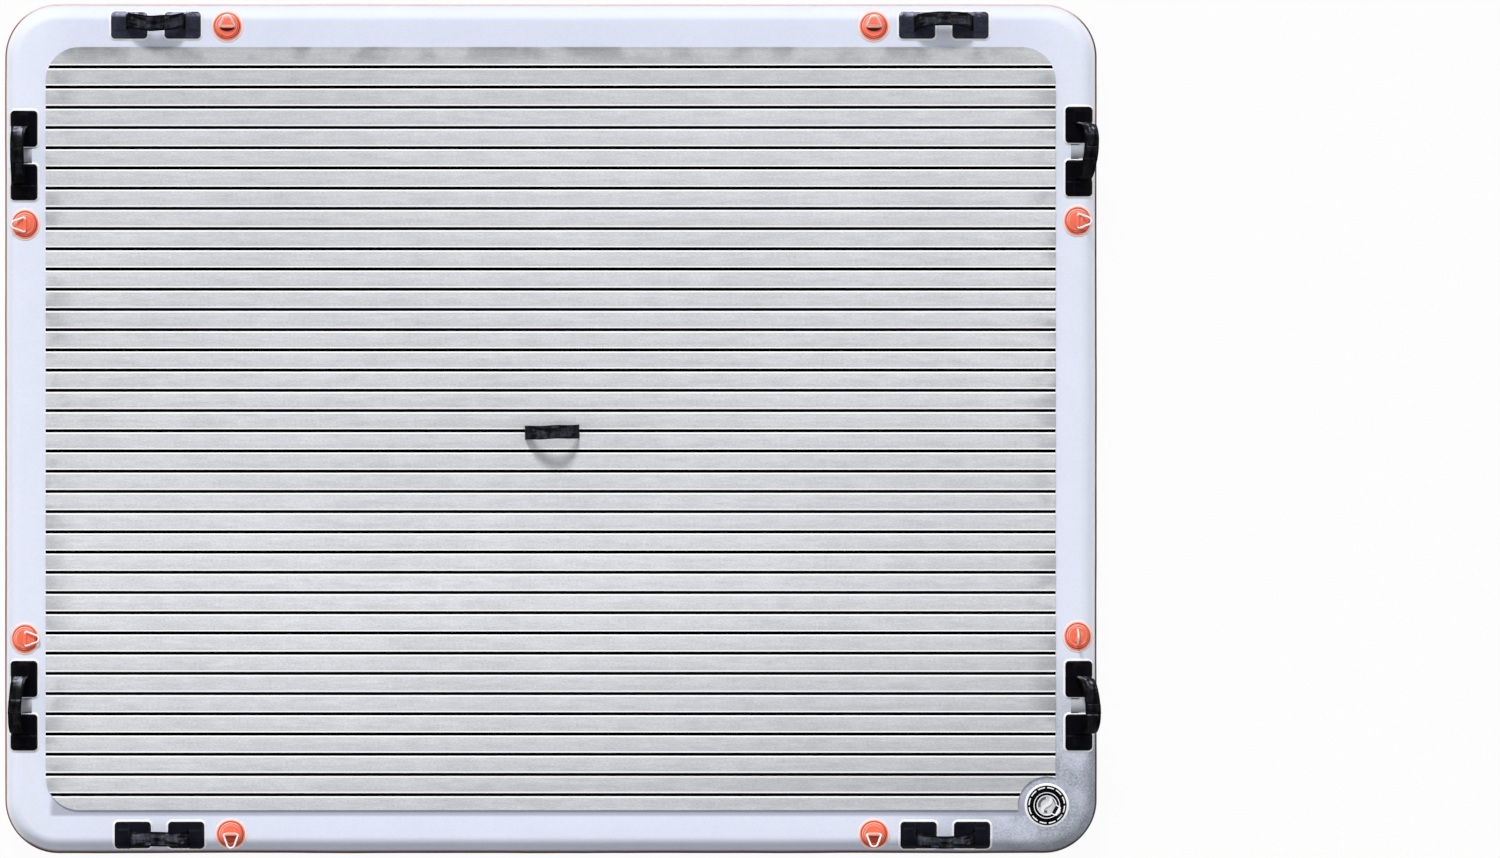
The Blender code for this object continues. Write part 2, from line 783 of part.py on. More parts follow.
def keeper_mesh(edge):
    """Folded strap of patch cloth over the bar, with a flat foot on each side."""
    name = f"ring_keeper_{edge}"
    over_edge = ring_across[edge]
    foot_low = ring_patch_top + touch_gap
    foot_high = foot_low + keeper_thickness
    inner_radius = wire_radius + keeper_play
    outer_radius = inner_radius + keeper_thickness
    keeper = edge_layer(name, (-keeper_length / 2, keeper_length / 2),
                        (over_edge - keeper_reach, over_edge + keeper_reach),
                        foot_low, foot_high)
    hoop = add_guide("keeper_hoop", arch_mesh("keeper_hoop", outer_radius,
                                              (foot_low + foot_high) / 2,
                                              keeper_length - 2 * touch_gap))
    tunnel = add_guide("keeper_tunnel", arch_mesh("keeper_tunnel", inner_radius,
                                                  -cut_overrun, keeper_length + cut_overrun))
    hoop.location.y = over_edge
    tunnel.location.y = over_edge
    add_boolean(keeper, hoop, "UNION")
    add_boolean(keeper, tunnel, "DIFFERENCE")
    return cut_mesh(keeper, name)


def ring_mesh():
    """D-shaped wire with its bar along X at the origin and its rounded tip towards +Y."""
    bend = ring_bend_radius
    corner = ring_inner_width / 2 + wire_radius - bend
    tip = ring_depth - ring_tip_radius
    run = math.hypot(corner, tip - bend)
    lean = math.atan2(tip - bend, -corner) - math.acos((bend - ring_tip_radius) / run)
    down, left = -math.pi / 2, math.pi - lean
    points = arc_points((-corner, bend), bend, down, left - 2 * math.pi, ring_bend_steps)
    points += arc_points((0, tip), ring_tip_radius, left, lean, ring_arc_steps)
    points += arc_points((corner, bend), bend, lean, down, ring_bend_steps)
    curve = bpy.data.curves.new("ring", "CURVE")
    curve.dimensions = "3D"
    curve.bevel_depth = wire_radius
    curve.bevel_resolution = 1
    spline = curve.splines.new("POLY")
    spline.points.add(len(points) - 1)
    for point, (x, y) in zip(spline.points, points):
        point.co = (x, y, 0, 1)
    spline.use_cyclic_u = True
    drawn = bpy.data.objects.new("ring", curve)
    cutters.objects.link(drawn)
    mesh = finished_mesh(drawn, "ring")
    bpy.data.objects.remove(drawn, do_unlink=True)
    mesh.shade_smooth()
    return mesh


def build_rings():
    patches = {edge: ring_patch_mesh(edge) for edge in edge_turns}
    keepers = {edge: keeper_mesh(edge) for edge in edge_turns}
    wire = ring_mesh()
    for (edge, side), degrees in ring_rest_degrees.items():
        name = f"dring_{edge}_{side}"
        mount = edge_mount(name, edge, side, long_edge_ring_place, short_edge_ring_place,
                           ring_shifts)
        add_part(f"{name}_patch", patches[edge], orange_patch, mount)
        add_part(f"{name}_keeper", keepers[edge], orange_patch, mount)
        ring = add_part(f"{name}_ring", wire, steel, mount)
        ring.location = (0, ring_across[edge], ring_bar_height)
        ring.rotation_euler.x = math.radians(degrees)


# Inflation valve. Local +X points at the cap's hinge block.

def valve_body_guide():
    web_top = -guide_web_depth
    web_bottom = web_top - guide_web_height
    lip_top = -seat_lip_depth
    lip_bottom = lip_top - seat_lip_height
    recess_radius = cap_radius + cap_side_play
    profile = [
        (recess_radius, collar_height),
        (collar_radius - collar_chamfer, collar_height),
        (collar_radius, collar_height - collar_chamfer),
        (collar_radius, flange_step_height),
        (flange_step_radius, flange_step_height),
        (flange_slope_radius, (flange_step_height + flange_edge_height) / 2),
        (flange_radius - collar_chamfer, flange_edge_height + touch_gap),
        (flange_radius, flange_edge_height - collar_chamfer),
        (flange_radius, touch_gap),
        (barrel_radius, touch_gap),
        (barrel_radius, -barrel_depth),
        (bore_radius, -barrel_depth),
        (bore_radius, lip_bottom),
        (seat_lip_radius, lip_bottom),
        (seat_lip_radius, lip_top),
        (bore_radius, lip_top),
        (bore_radius, web_bottom),
        (guide_hole_radius, web_bottom),
        (guide_hole_radius, web_top),
        (bore_radius, web_top),
        (bore_radius, cap_seat_height),
        (recess_radius, cap_seat_height),
    ]
    return turned_guide("valve_body_form", profile, valve_steps, closed=True)


def valve_body_mesh():
    body = valve_body_guide()
    centers = polygon_points(air_hole_circle, air_hole_count)
    middle = -guide_web_depth - guide_web_height / 2
    holes = cylinder_mesh("air_holes", air_hole_radius, middle - guide_web_height,
                          middle + guide_web_height, disc_steps // 2, centers)
    add_boolean(body, add_guide("air_holes", holes), "DIFFERENCE")
    block_start = hinge_radius + touch_gap / 2
    block = box_mesh("hinge_block", (block_start, -hinge_block_width / 2, flange_edge_height),
                     (block_start + hinge_block_length, hinge_block_width / 2, cap_strap_top))
    add_boolean(body, add_guide("hinge_block", block), "UNION")
    return cut_mesh(body, "valve_body")


def valve_cap_mesh():
    """Dished cap with a plug skirt, a finger grip and the strap to its hinge."""
    dish = cap_top - cap_dish_depth
    skirt_bottom = cap_seat_top - cap_skirt_depth
    profile = [
        (0, dish),
        (cap_dish_radius, dish),
        (cap_dish_radius + cap_dish_depth, cap_top),
        (cap_radius - cap_edge_round, cap_top),
        (cap_radius, cap_top - cap_edge_round),
        (cap_radius, cap_seat_top),
        (cap_skirt_radius, cap_seat_top),
        (cap_skirt_radius, skirt_bottom),
        (cap_skirt_radius - cap_skirt_wall, skirt_bottom),
        (cap_skirt_radius - cap_skirt_wall, cap_seat_top),
        (0, cap_seat_top),
    ]
    cap = turned_guide("valve_cap_form", profile, valve_steps, closed=False)
    grip = box_mesh("cap_grip", (-cap_grip_width / 2, -cap_grip_length / 2, dish - cap_dish_depth / 2),
                    (cap_grip_width / 2, cap_grip_length / 2, cap_strap_top))
    strap_start = cap_radius - cap_strap_thickness * 2
    strap = box_mesh("cap_strap", (strap_start, -cap_strap_width / 2, cap_strap_bottom),
                     (hinge_radius - touch_gap / 2, cap_strap_width / 2, cap_strap_top))
    add_boolean(cap, add_guide("cap_grip", grip), "UNION")
    add_boolean(cap, add_guide("cap_strap", strap), "UNION")
    mesh = cut_mesh(cap, "valve_cap")
    mesh.transform(Matrix.Translation((-hinge_radius, 0, -cap_strap_top)))
    return mesh


def plunger_mesh():
    top = -button_top_depth
    under_button = top - button_height
    seal_top = -seat_lip_depth - seat_lip_height - touch_gap
    profile = [
        (0, top),
        (button_radius, top),
        (button_radius, under_button),
        (stem_radius, under_button),
        (stem_radius, seal_top),
        (seal_radius, seal_top),
        (seal_radius, seal_top - seal_height),
        (0, seal_top - seal_height),
    ]
    plunger = turned_guide("valve_plunger_form", profile, plunger_steps, closed=False)
    return finished_mesh(plunger, "valve_plunger")


def spring_mesh():
    """Coil round the stem, between the guide web and the button."""
    radius = spring_wire / 2
    low = -guide_web_depth + touch_gap + radius
    high = -button_top_depth - button_height - touch_gap - radius
    count = spring_turns * spring_turn_points
    curve = bpy.data.curves.new("valve_spring", "CURVE")
    curve.dimensions = "3D"
    curve.bevel_depth = radius
    curve.bevel_resolution = 1
    curve.use_fill_caps = True
    spline = curve.splines.new("POLY")
    spline.points.add(count)
    for step, point in enumerate(spline.points):
        angle = 2 * math.pi * step / spring_turn_points
        height = low + (high - low) * step / count
        point.co = (spring_radius * math.cos(angle), spring_radius * math.sin(angle), height, 1)
    drawn = bpy.data.objects.new("valve_spring", curve)
    cutters.objects.link(drawn)
    mesh = finished_mesh(drawn, "valve_spring")
    bpy.data.objects.remove(drawn, do_unlink=True)
    bm = bmesh.new()
    bm.from_mesh(mesh)
    bmesh.ops.remove_doubles(bm, verts=bm.verts, dist=touch_gap / 10)
    bm.to_mesh(mesh)
    bm.free()
    mesh.shade_smooth()
    return mesh


def polygon_points(radius, sides):
    turns = [2 * math.pi * side / sides for side in range(sides)]
    return [(radius * math.cos(a), radius * math.sin(a)) for a in turns]


def nut_mesh():
    bore_radius_at_corners = (barrel_radius + touch_gap) / math.cos(math.pi / nut_bore_steps)
    outer = polygon_points(nut_radius, nut_sides)
    bore = polygon_points(bore_radius_at_corners, nut_bore_steps)
    return outline_solid("valve_nut", [outer, bore], nut_height)


def build_valve():
    mount = add_mount("valve_mount", (*valve_place, platform_thickness), valve_turn)
    add_part("valve_body", valve_body_mesh(), valve_black, mount)
    nut = add_part("valve_nut", nut_mesh(), valve_black, mount)
    nut.location.z = -skin_thickness - touch_gap - nut_height / 2
    add_part("valve_plunger", plunger_mesh(), valve_grey, mount)
    add_part("valve_spring", spring_mesh(), steel, mount)
    cap = add_part("valve_cap", valve_cap_mesh(), valve_grey, mount)
    cap.location = (hinge_radius, 0, cap_strap_top)


build_skins()
build_bands()
build_core()
build_deck_pad()
build_carry_strap()
build_handles()
build_rings()
build_valve()
bpy.context.view_layer.update()
print("parts built:", len([item for item in parts.objects if item.type == "MESH"]))
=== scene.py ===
import math

import bmesh
import bpy
from mathutils import Matrix, Vector, noise


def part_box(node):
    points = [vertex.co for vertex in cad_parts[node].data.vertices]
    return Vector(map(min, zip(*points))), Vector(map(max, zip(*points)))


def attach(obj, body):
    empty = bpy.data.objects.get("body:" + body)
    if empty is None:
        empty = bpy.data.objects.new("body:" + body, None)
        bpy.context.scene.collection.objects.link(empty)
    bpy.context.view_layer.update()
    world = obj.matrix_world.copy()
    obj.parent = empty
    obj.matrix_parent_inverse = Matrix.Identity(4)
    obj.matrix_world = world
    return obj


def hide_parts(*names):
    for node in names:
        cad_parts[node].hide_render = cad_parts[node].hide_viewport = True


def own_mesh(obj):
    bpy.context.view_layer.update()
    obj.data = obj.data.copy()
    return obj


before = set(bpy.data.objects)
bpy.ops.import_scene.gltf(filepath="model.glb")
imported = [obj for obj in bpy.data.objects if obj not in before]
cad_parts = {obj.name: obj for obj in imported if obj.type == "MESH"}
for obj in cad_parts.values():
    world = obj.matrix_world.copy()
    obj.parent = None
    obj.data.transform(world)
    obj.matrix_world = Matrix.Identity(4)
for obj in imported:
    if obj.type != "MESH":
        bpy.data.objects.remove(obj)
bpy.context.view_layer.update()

# The dock seen from straight above: white drop-stitch chamber, grooved grey foam deck,
# black grab handles, orange D-ring patches and the valve in the front right corner.

dock = {
    "length": 2.740,          # white skin, under the side band
    "width": 2.131,
    "height": 0.152,
    "cornerRadius": 0.1335,
    "sideBulge": 0.043,       # how far the round side stands out past the flat top
    "sideHalfHeight": 0.073,
    "ripple": 0.0012,         # depth of the slight waves along the side
    "waves": ((4, 5, 0.7), (13, 16, 0.3)),      # of each wave: scale flat and upwards, share
    "waveShift": 0.35,        # the waves are mostly dents
    "sineLimit": 0.985,       # what is draped over the side ends before it is upright
}
flatHalfLength = dock["length"] / 2 - dock["sideBulge"]
flatHalfWidth = dock["width"] / 2 - dock["sideBulge"]
coreHalfLength = dock["length"] / 2 - dock["cornerRadius"]
coreHalfWidth = dock["width"] / 2 - dock["cornerRadius"]
edgePlaces = {
    "back": (0, (0, flatHalfWidth)),
    "front": (math.pi, (0, -flatHalfWidth)),
    "left": (math.pi / 2, (-flatHalfLength, 0)),
    "right": (-math.pi / 2, (flatHalfLength, 0)),
}
# fittings sit this much further in
edgePull = {"back": 0.0095, "front": 0.0015, "left": 0.005, "right": 0.001}


# shader helpers: addNode gives back the node, most others the socket with their result
def addNode(tree, kind, inputs=None, **settings):
    made = tree.nodes.new("ShaderNode" + kind)
    for key, value in settings.items():
        setattr(made, key, value)
    for key, value in (inputs or {}).items():
        if isinstance(value, bpy.types.NodeSocket):
            tree.links.new(value, made.inputs[key])
        else:
            made.inputs[key].default_value = value
    return made


def calc(tree, operation, *values):
    return addNode(tree, "Math", dict(enumerate(values)), operation=operation).outputs[0]


def mixColor(tree, factor, first, second):
    return addNode(tree, "Mix", {0: factor, 6: first, 7: second}, data_type="RGBA").outputs[2]


def remap(tree, value, fromLow, fromHigh, toLow=0.0, toHigh=1.0):
    inputs = {0: value, 1: fromLow, 2: fromHigh, 3: toLow, 4: toHigh}
    return addNode(tree, "MapRange", inputs).outputs[0]


def ramp(tree, value, start, end, toLow=0.0, toHigh=1.0):
    # a soft step from one value to another
    inputs = {0: value, 1: start, 2: end, 3: toLow, 4: toHigh}
    return addNode(tree, "MapRange", inputs, interpolation_type="SMOOTHSTEP").outputs[0]


def product(tree, first, *others):
    for other in others:
        first = calc(tree, "MULTIPLY", first, other)
    return first


def total(tree, first, *others):
    for other in others:
        first = calc(tree, "ADD", first, other)
    return first


def vectorMath(tree, operation, *values, output=0):
    return addNode(tree, "VectorMath", dict(enumerate(values)), operation=operation).outputs[output]


def coordinates(tree, kind="Object"):
    return addNode(tree, "TexCoord").outputs[kind]


def split(tree, vector):
    return addNode(tree, "SeparateXYZ", {0: vector}).outputs


def surfaceNormal(tree):
    return split(tree, addNode(tree, "NewGeometry").outputs["Normal"])


def noiseAt(tree, where, scale, detail, **more):
    inputs = {"Vector": where, "Scale": scale, "Detail": detail}
    return addNode(tree, "TexNoise", {**inputs, **more}).outputs[0]


def brighten(tree, value, color):
    return addNode(tree, "HueSaturation", {"Value": value, "Color": color}).outputs[0]


def newGroup(name, inputs, outputs):
    tree = bpy.data.node_groups.new(name, "ShaderNodeTree")
    for label, value in inputs.items():
        kind = "NodeSocketColor" if isinstance(value, tuple) else "NodeSocketFloat"
        tree.interface.new_socket(name=label, in_out="INPUT", socket_type=kind).default_value = value
    for label, kind in outputs.items():
        tree.interface.new_socket(name=label, in_out="OUTPUT", socket_type="NodeSocket" + kind)
    return tree, tree.nodes.new("NodeGroupInput").outputs, tree.nodes.new("NodeGroupOutput").inputs


def send(tree, target, value):
    tree.links.new(value, target)


def makeCloudGroup():
    # soft clouds and fine grain that lighten and darken a colour
    tree, given, result = newGroup(
        "cloudedColor",
        {"Color": (0.8, 0.8, 0.8, 1), "Cloud Size": 0.3, "Cloud Depth": 0.06,
         "Grain Size": 0.004, "Grain Depth": 0.04, "Stretch": 1.0},
        {"Color": "Color", "Grain": "Float"})
    where = coordinates(tree)
    squeezed = addNode(tree, "CombineXYZ", {0: calc(tree, "DIVIDE", 1.0, given["Stretch"]), 1: 1.0, 2: 1.0})
    place = vectorMath(tree, "MULTIPLY", where, squeezed.outputs[0])
    cloudScale = calc(tree, "DIVIDE", 1.0, given["Cloud Size"])
    grainScale = calc(tree, "DIVIDE", 1.0, given["Grain Size"])
    cloud = noiseAt(tree, where, cloudScale, 4.0, Roughness=0.55, Distortion=0.6)
    grain = noiseAt(tree, place, grainScale, 3.0, Roughness=0.6)
    cloud = remap(tree, cloud, 0.3, 0.7, -1.0, 1.0)
    grain = remap(tree, grain, 0.3, 0.7, -1.0, 1.0)
    value = total(tree, product(tree, cloud, given["Cloud Depth"]),
                  product(tree, grain, given["Grain Depth"]), 1.0)
    send(tree, result["Color"], brighten(tree, value, given["Color"]))
    send(tree, result["Grain"], grain)
    return tree


def makeThreadGroup():
    # base cloth that shows faintly through a plastic coating
    tree, given, result = newGroup("threadsUnderCoat", {"Pitch": 0.0014, "Fade": 0.5}, {"Height": "Float"})
    where = coordinates(tree)
    turns = calc(tree, "DIVIDE", 2 * math.pi, given["Pitch"])
    waves = [calc(tree, "SINE", product(tree, axis, turns)) for axis in split(tree, where)]
    weave = total(tree, product(tree, waves[0], waves[1]),
                  product(tree, waves[2], total(tree, waves[0], waves[1])))
    worn = noiseAt(tree, where, 14.0, 2.0)
    strength = calc(tree, "SUBTRACT", 1.0, product(tree, given["Fade"], worn))
    send(tree, result["Height"], product(tree, weave, strength))
    return tree


def makeWebbingGroup():
    # ribbed, creased webbing on a UV map in metres, U along and V across from its middle line
    tree, given, result = newGroup(
        "ribbedWebbing", {"Rib": 0.0021, "Pick": 0.0016, "Border": 0.0142, "Crease Size": 0.016,
                          "Light": (0.05, 0.05, 0.06, 1), "Dark": (0.006, 0.006, 0.008, 1)},
        {"Color": "Color", "Height": "Float", "Painted Highlight": "Float"})
    along, across, _ = split(tree, coordinates(tree, "UV"))
    ribs = calc(tree, "DIVIDE", across, given["Rib"])
    rib = calc(tree, "ABSOLUTE", calc(tree, "SINE", product(tree, ribs, math.pi)))
    shift = product(tree, calc(tree, "FLOOR", ribs), 0.5)
    picks = total(tree, calc(tree, "DIVIDE", along, given["Pick"]), shift)
    pick = calc(tree, "SINE", product(tree, picks, 2 * math.pi))
    height = product(tree, rib, remap(tree, pick, -1.0, 1.0, 0.55, 1.0))
    drawn = addNode(tree, "CombineXYZ", {0: product(tree, along, 0.35), 1: product(tree, across, 1.6)})
    creaseScale = calc(tree, "DIVIDE", 1.0, given["Crease Size"])
    crease = noiseAt(tree, drawn.outputs[0], creaseScale, 3.0, Distortion=0.8)
    folded = addNode(tree, "CombineXYZ", {0: along, 1: product(tree, across, 0.3), 2: 4.0})
    foldScale = calc(tree, "DIVIDE", 1.2, given["Crease Size"])
    fold = noiseAt(tree, folded.outputs[0], foldScale, 2.0)
    fromBorder = calc(tree, "SUBTRACT", calc(tree, "ABSOLUTE", across), given["Border"])
    border = ramp(tree, fromBorder, 0.0, 0.0022, 1.0, 0.1)
    _, normalY, normalZ = surfaceNormal(tree)
    # painted shade: steep parts of the strap are painted darker
    steep = ramp(tree, calc(tree, "ABSOLUTE", normalZ), 0.2, 0.75, 0.12, 1.0)
    streak = remap(tree, crease, 0.41, 0.59, 0.15, 1.85)
    tone = product(tree, streak, remap(tree, fold, 0.38, 0.62, 0.45, 1.55), border, steep)
    color = mixColor(tree, height, given["Dark"], given["Light"])
    # painted highlight where the strap faces the back
    lit = product(tree, ramp(tree, normalY, 0.35, 0.75), remap(tree, streak, 0.6, 1.4, 0.1, 1.0), border,
                  remap(tree, fold, 0.42, 0.56, 0.25, 1.0))
    send(tree, result["Painted Highlight"], lit)
    send(tree, result["Color"], brighten(tree, tone, color))
    send(tree, result["Height"], total(tree, height, product(tree, crease, 5.0)))
    return tree


def makeRubGroup():
    # edges rubbed lighter and creases painted darker as painted shade, from how sharply the mesh turns
    tree, given, result = newGroup(
        "rubbedEdges",
        {"Color": (0.5, 0.5, 0.5, 1), "Rubbed": (0.8, 0.8, 0.8, 1), "Crease": (0.2, 0.2, 0.2, 1),
         "Start": 0.51, "End": 0.6, "Strength": 0.5, "Crease Strength": 0.0},
        {"Color": "Color"})
    sharp = addNode(tree, "NewGeometry").outputs["Pointiness"]
    broken = noiseAt(tree, coordinates(tree), 160.0, 3.0)
    edge = remap(tree, sharp, given["Start"], given["End"])
    mask = product(tree, edge, given["Strength"], remap(tree, broken, 0.3, 0.6, 0.4, 1.0))
    crease = product(tree, remap(tree, sharp, 0.495, 0.42), given["Crease Strength"])
    rubbed = mixColor(tree, mask, given["Color"], given["Rubbed"])
    send(tree, result["Color"], mixColor(tree, crease, rubbed, given["Crease"]))
    return tree


def makeMouldGroup():
    # pebbled grain of moulded plastic and soft plastic patches
    tree, given, result = newGroup(
        "mouldedGrain", {"Pebble": 0.0012, "Roughness": 0.45, "Spread": 0.12},
        {"Height": "Float", "Roughness": "Float"})
    where = coordinates(tree)
    scale = calc(tree, "DIVIDE", 1.0, given["Pebble"])
    pebble = addNode(tree, "TexVoronoi", {"Vector": where, "Scale": scale}, feature="SMOOTH_F1").outputs[0]
    smear = remap(tree, noiseAt(tree, where, 45.0, 4.0), 0.3, 0.7, -1.0, 1.0)
    rough = total(tree, given["Roughness"], product(tree, smear, given["Spread"]))
    send(tree, result["Height"], pebble)
    send(tree, result["Roughness"], rough)
    return tree


cloudGroup = makeCloudGroup()
threadGroup = makeThreadGroup()
webbingGroup = makeWebbingGroup()
rubGroup = makeRubGroup()
mouldGroup = makeMouldGroup()


def placeGroup(tree, group, inputs):
    return addNode(tree, "Group", inputs, node_tree=group).outputs


def clouded(tree, color, cloudSize, cloudDepth, grainSize, grainDepth, stretch=1.0):
    inputs = {"Color": color, "Cloud Size": cloudSize, "Cloud Depth": cloudDepth,
              "Grain Size": grainSize, "Grain Depth": grainDepth, "Stretch": stretch}
    return placeGroup(tree, cloudGroup, inputs)


def rubbedAtEdges(tree, color, rubbed, strength=0.5, **crease):
    inputs = {"Color": color, "Rubbed": rubbed, "Strength": strength}
    return placeGroup(tree, rubGroup, {**inputs, **crease})["Color"]


def newMaterial(name, **plain):
    material = bpy.data.materials.new(name)
    material.use_nodes = True
    shader = material.node_tree.nodes["Principled BSDF"]
    for key, value in plain.items():
        shader.inputs[key.replace("_", " ")].default_value = value
    return material, material.node_tree, shader.inputs


def bumpOn(tree, shader, height, distance):
    bump = addNode(tree, "Bump", {"Height": height, "Distance": distance, "Strength": 1.0})
    send(tree, shader["Normal"], bump.outputs[0])


def finishCloth(tree, shader, color, pitch=0.0014, depth=0.00006):
    # the base cloth shows faintly through the coating
    send(tree, shader["Base Color"], color)
    bumpOn(tree, shader, placeGroup(tree, threadGroup, {"Pitch": pitch})["Height"], depth)


def finishMoulded(tree, shader, color, roughness, spread=0.1, pebble=0.0012, depth=0.00005):
    grain = placeGroup(tree, mouldGroup, {"Pebble": pebble, "Roughness": roughness, "Spread": spread})
    send(tree, shader["Base Color"], color)
    send(tree, shader["Roughness"], grain["Roughness"])
    bumpOn(tree, shader, grain["Height"], depth)


def linear(red, green, blue):
    parts = [c / 255 for c in (red, green, blue)]
    return (*[c / 12.92 if c < 0.04045 else ((c + 0.055) / 1.055) ** 2.4 for c in parts], 1)


def coatedCloth(name, color, roughness=0.5, pitch=0.0014, depth=0.00006):
    material, tree, shader = newMaterial(name, Roughness=roughness, Specular_IOR_Level=0.4)
    finishCloth(tree, shader, clouded(tree, color, 0.25, 0.02, 0.006, 0.03)["Color"], pitch, depth)
    return material


skin = {
    "color": linear(229, 234, 249),
    "shade": linear(221, 227, 244),       # long sides, painted a little greyer than the short ends: painted shade
    "frontShade": linear(227, 232, 249),
    "padEdgeShadow": linear(158, 161, 178),       # painted shadow along the pad's front edge
    "dirt": linear(138, 143, 156),
    "frontFacingShade": linear(100, 104, 118),
    "backFacingHighlight": linear(255, 252, 252),
    "brown": linear(120, 88, 88),         # under the front's band
    "white": (1.0, 1.0, 1.0, 1),
    "cornerDarkTint": linear(112, 118, 130),
    "dirtPlace": (1.33, -0.97, 0.152), "dirtReach": (0.50, 0.05), "cornerReach": (0.33, 0.12),
    # where a tint starts and where it is full, by place on the dock
    "sidesFrom": (1.29, 1.18), "frontFrom": (-0.9, -0.97),
    "padShadowOuter": (-0.9750, -0.9670), "padShadowInner": (-0.90, -0.95), "padShadowEnds": (1.262, 1.245),
    # and by the way the surface faces
    "endsFall": (0.62, 0.2), "endsFace": (0.45, 0.8), "cornerFall": (0.93, 0.45),
    "brownFall": (0.44, 0.28), "brownFace": (-0.5, -0.85),
    "frontFace": (-0.3, -0.75), "backFace": (0.25, 0.85),
}


def skinMaterial():
    material, tree, shader = newMaterial("whiteChamberSkin", Roughness=0.42, Specular_IOR_Level=0.4)
    where = coordinates(tree)
    x, y, _ = split(tree, where)
    fromMiddle = calc(tree, "ABSOLUTE", x)
    longSide = ramp(tree, fromMiddle, *skin["sidesFrom"])
    shade = mixColor(tree, ramp(tree, y, *skin["frontFrom"]), skin["shade"], skin["frontShade"])
    color = clouded(tree, mixColor(tree, longSide, skin["color"], shade), 0.25, 0.02, 0.006, 0.025)["Color"]
    away = vectorMath(tree, "DISTANCE", where, skin["dirtPlace"], output="Value")
    near = ramp(tree, away, *skin["dirtReach"])
    speckle = noiseAt(tree, where, 260.0, 4.0, Roughness=0.6)
    smudge = noiseAt(tree, where, 16.0, 3.0)
    dirt = product(tree, near, remap(tree, speckle, 0.36, 0.62, 0.55, 1.0),
                   remap(tree, smudge, 0.3, 0.6, 0.5, 1.0))
    # painted highlight: the round ends are painted brighter where they fall away; the corner's side is darker
    # where it falls away, with speckles
    normalX, normalY, normalZ = surfaceNormal(tree)
    atEnds = ramp(tree, calc(tree, "ABSOLUTE", normalX), *skin["endsFace"])
    ends = product(tree, ramp(tree, normalZ, *skin["endsFall"]), atEnds, ramp(tree, near, 0.4, 0.0))
    cornerDarkening = product(tree, ramp(tree, normalZ, *skin["cornerFall"]),
                    ramp(tree, away, *skin["cornerReach"], 0.0, 0.8),
                    remap(tree, speckle, 0.36, 0.62, 0.3, 1.0))
    brown = product(tree, ramp(tree, normalZ, *skin["brownFall"]),
                    ramp(tree, normalY, *skin["brownFace"]), 0.85)
    # painted shadow that the pad's front edge casts on the skin
    beside = product(tree, ramp(tree, y, *skin["padShadowOuter"]), ramp(tree, y, *skin["padShadowInner"]),
                     ramp(tree, fromMiddle, *skin["padShadowEnds"]), 0.75)
    # painted shade on the side facing the front, painted highlight on the side facing the back
    paintedFrontShade = ramp(tree, normalY, *skin["frontFace"], 0.0, 0.22)
    paintedBackHighlight = ramp(tree, normalY, *skin["backFace"], 0.0, 0.25)
    for mask, tint in ((dirt, "dirt"), (beside, "padEdgeShadow"), (paintedFrontShade, "frontFacingShade"),
                       (paintedBackHighlight, "backFacingHighlight"), (brown, "brown"), (ends, "white"), (cornerDarkening, "cornerDarkTint")):
        color = mixColor(tree, mask, color, skin[tint])
    finishCloth(tree, shader, color)
    return material


# band colour, with painted light and shade for each way the side faces
bandTints = {
    "plain": linear(226, 104, 72), "back": linear(238, 212, 208), "left": linear(132, 36, 14),
    "right": linear(62, 34, 32), "front": linear(78, 26, 20), "frontRight": linear(48, 42, 48),
}


def bandMaterial():
    # orange band, painted lighter along the back and painted darker at the ends and along the front, by which
    # way the side faces: painted light and shade
    material, tree, shader = newMaterial("orangeSideBand", Roughness=0.5, Specular_IOR_Level=0.3)
    upper = ramp(tree, surfaceNormal(tree)[2], -0.15, 0.1)
    # which way the side faces: away from the straight core inside the round corners
    place = coordinates(tree)
    core = (coreHalfLength, coreHalfWidth, 0.0)
    held = vectorMath(tree, "MINIMUM", place, core)
    held = vectorMath(tree, "MAXIMUM", held, (-coreHalfLength, -coreHalfWidth, 0.0))
    away = vectorMath(tree, "SUBTRACT", place, held)
    flat = vectorMath(tree, "MULTIPLY", away, (1.0, 1.0, 0.0))
    x, y, _ = split(tree, vectorMath(tree, "NORMALIZE", flat))
    color = bandTints["plain"]
    for axis, way, tint in ((y, 1, "back"), (x, -1, "left"), (x, 1, "right"), (y, -1, "front")):
        mask = product(tree, ramp(tree, axis, 0.4 * way, 0.9 * way), upper)
        color = mixColor(tree, mask, color, bandTints[tint])
    corner = product(tree, ramp(tree, x, 0.1, 0.4), ramp(tree, y, -0.1, -0.4), upper)
    color = mixColor(tree, corner, color, bandTints["frontRight"])
    finishCloth(tree, shader, clouded(tree, color, 0.25, 0.03, 0.006, 0.03)["Color"])
    return material


def softPlastic(name, color, rubbed, roughness, pebble=0.0012, depth=0.00005, rubbing=0.4, specular=0.4,
                crease=None):
    material, tree, shader = newMaterial(name, Specular_IOR_Level=specular)
    toned = clouded(tree, color, 0.05, 0.05, 0.003, 0.05)["Color"]
    creases = {"Crease": crease, "Crease Strength": 0.9} if crease else {}
    finishMoulded(tree, shader, rubbedAtEdges(tree, toned, rubbed, rubbing, **creases), roughness,
                  pebble=pebble, depth=depth)
    return material


patchTints = {
    "ends": linear(8, 8, 13), "back": linear(46, 48, 61), "front": linear(21, 21, 31),
    "sheen": linear(176, 176, 204), "rubbed": linear(48, 49, 58),
}


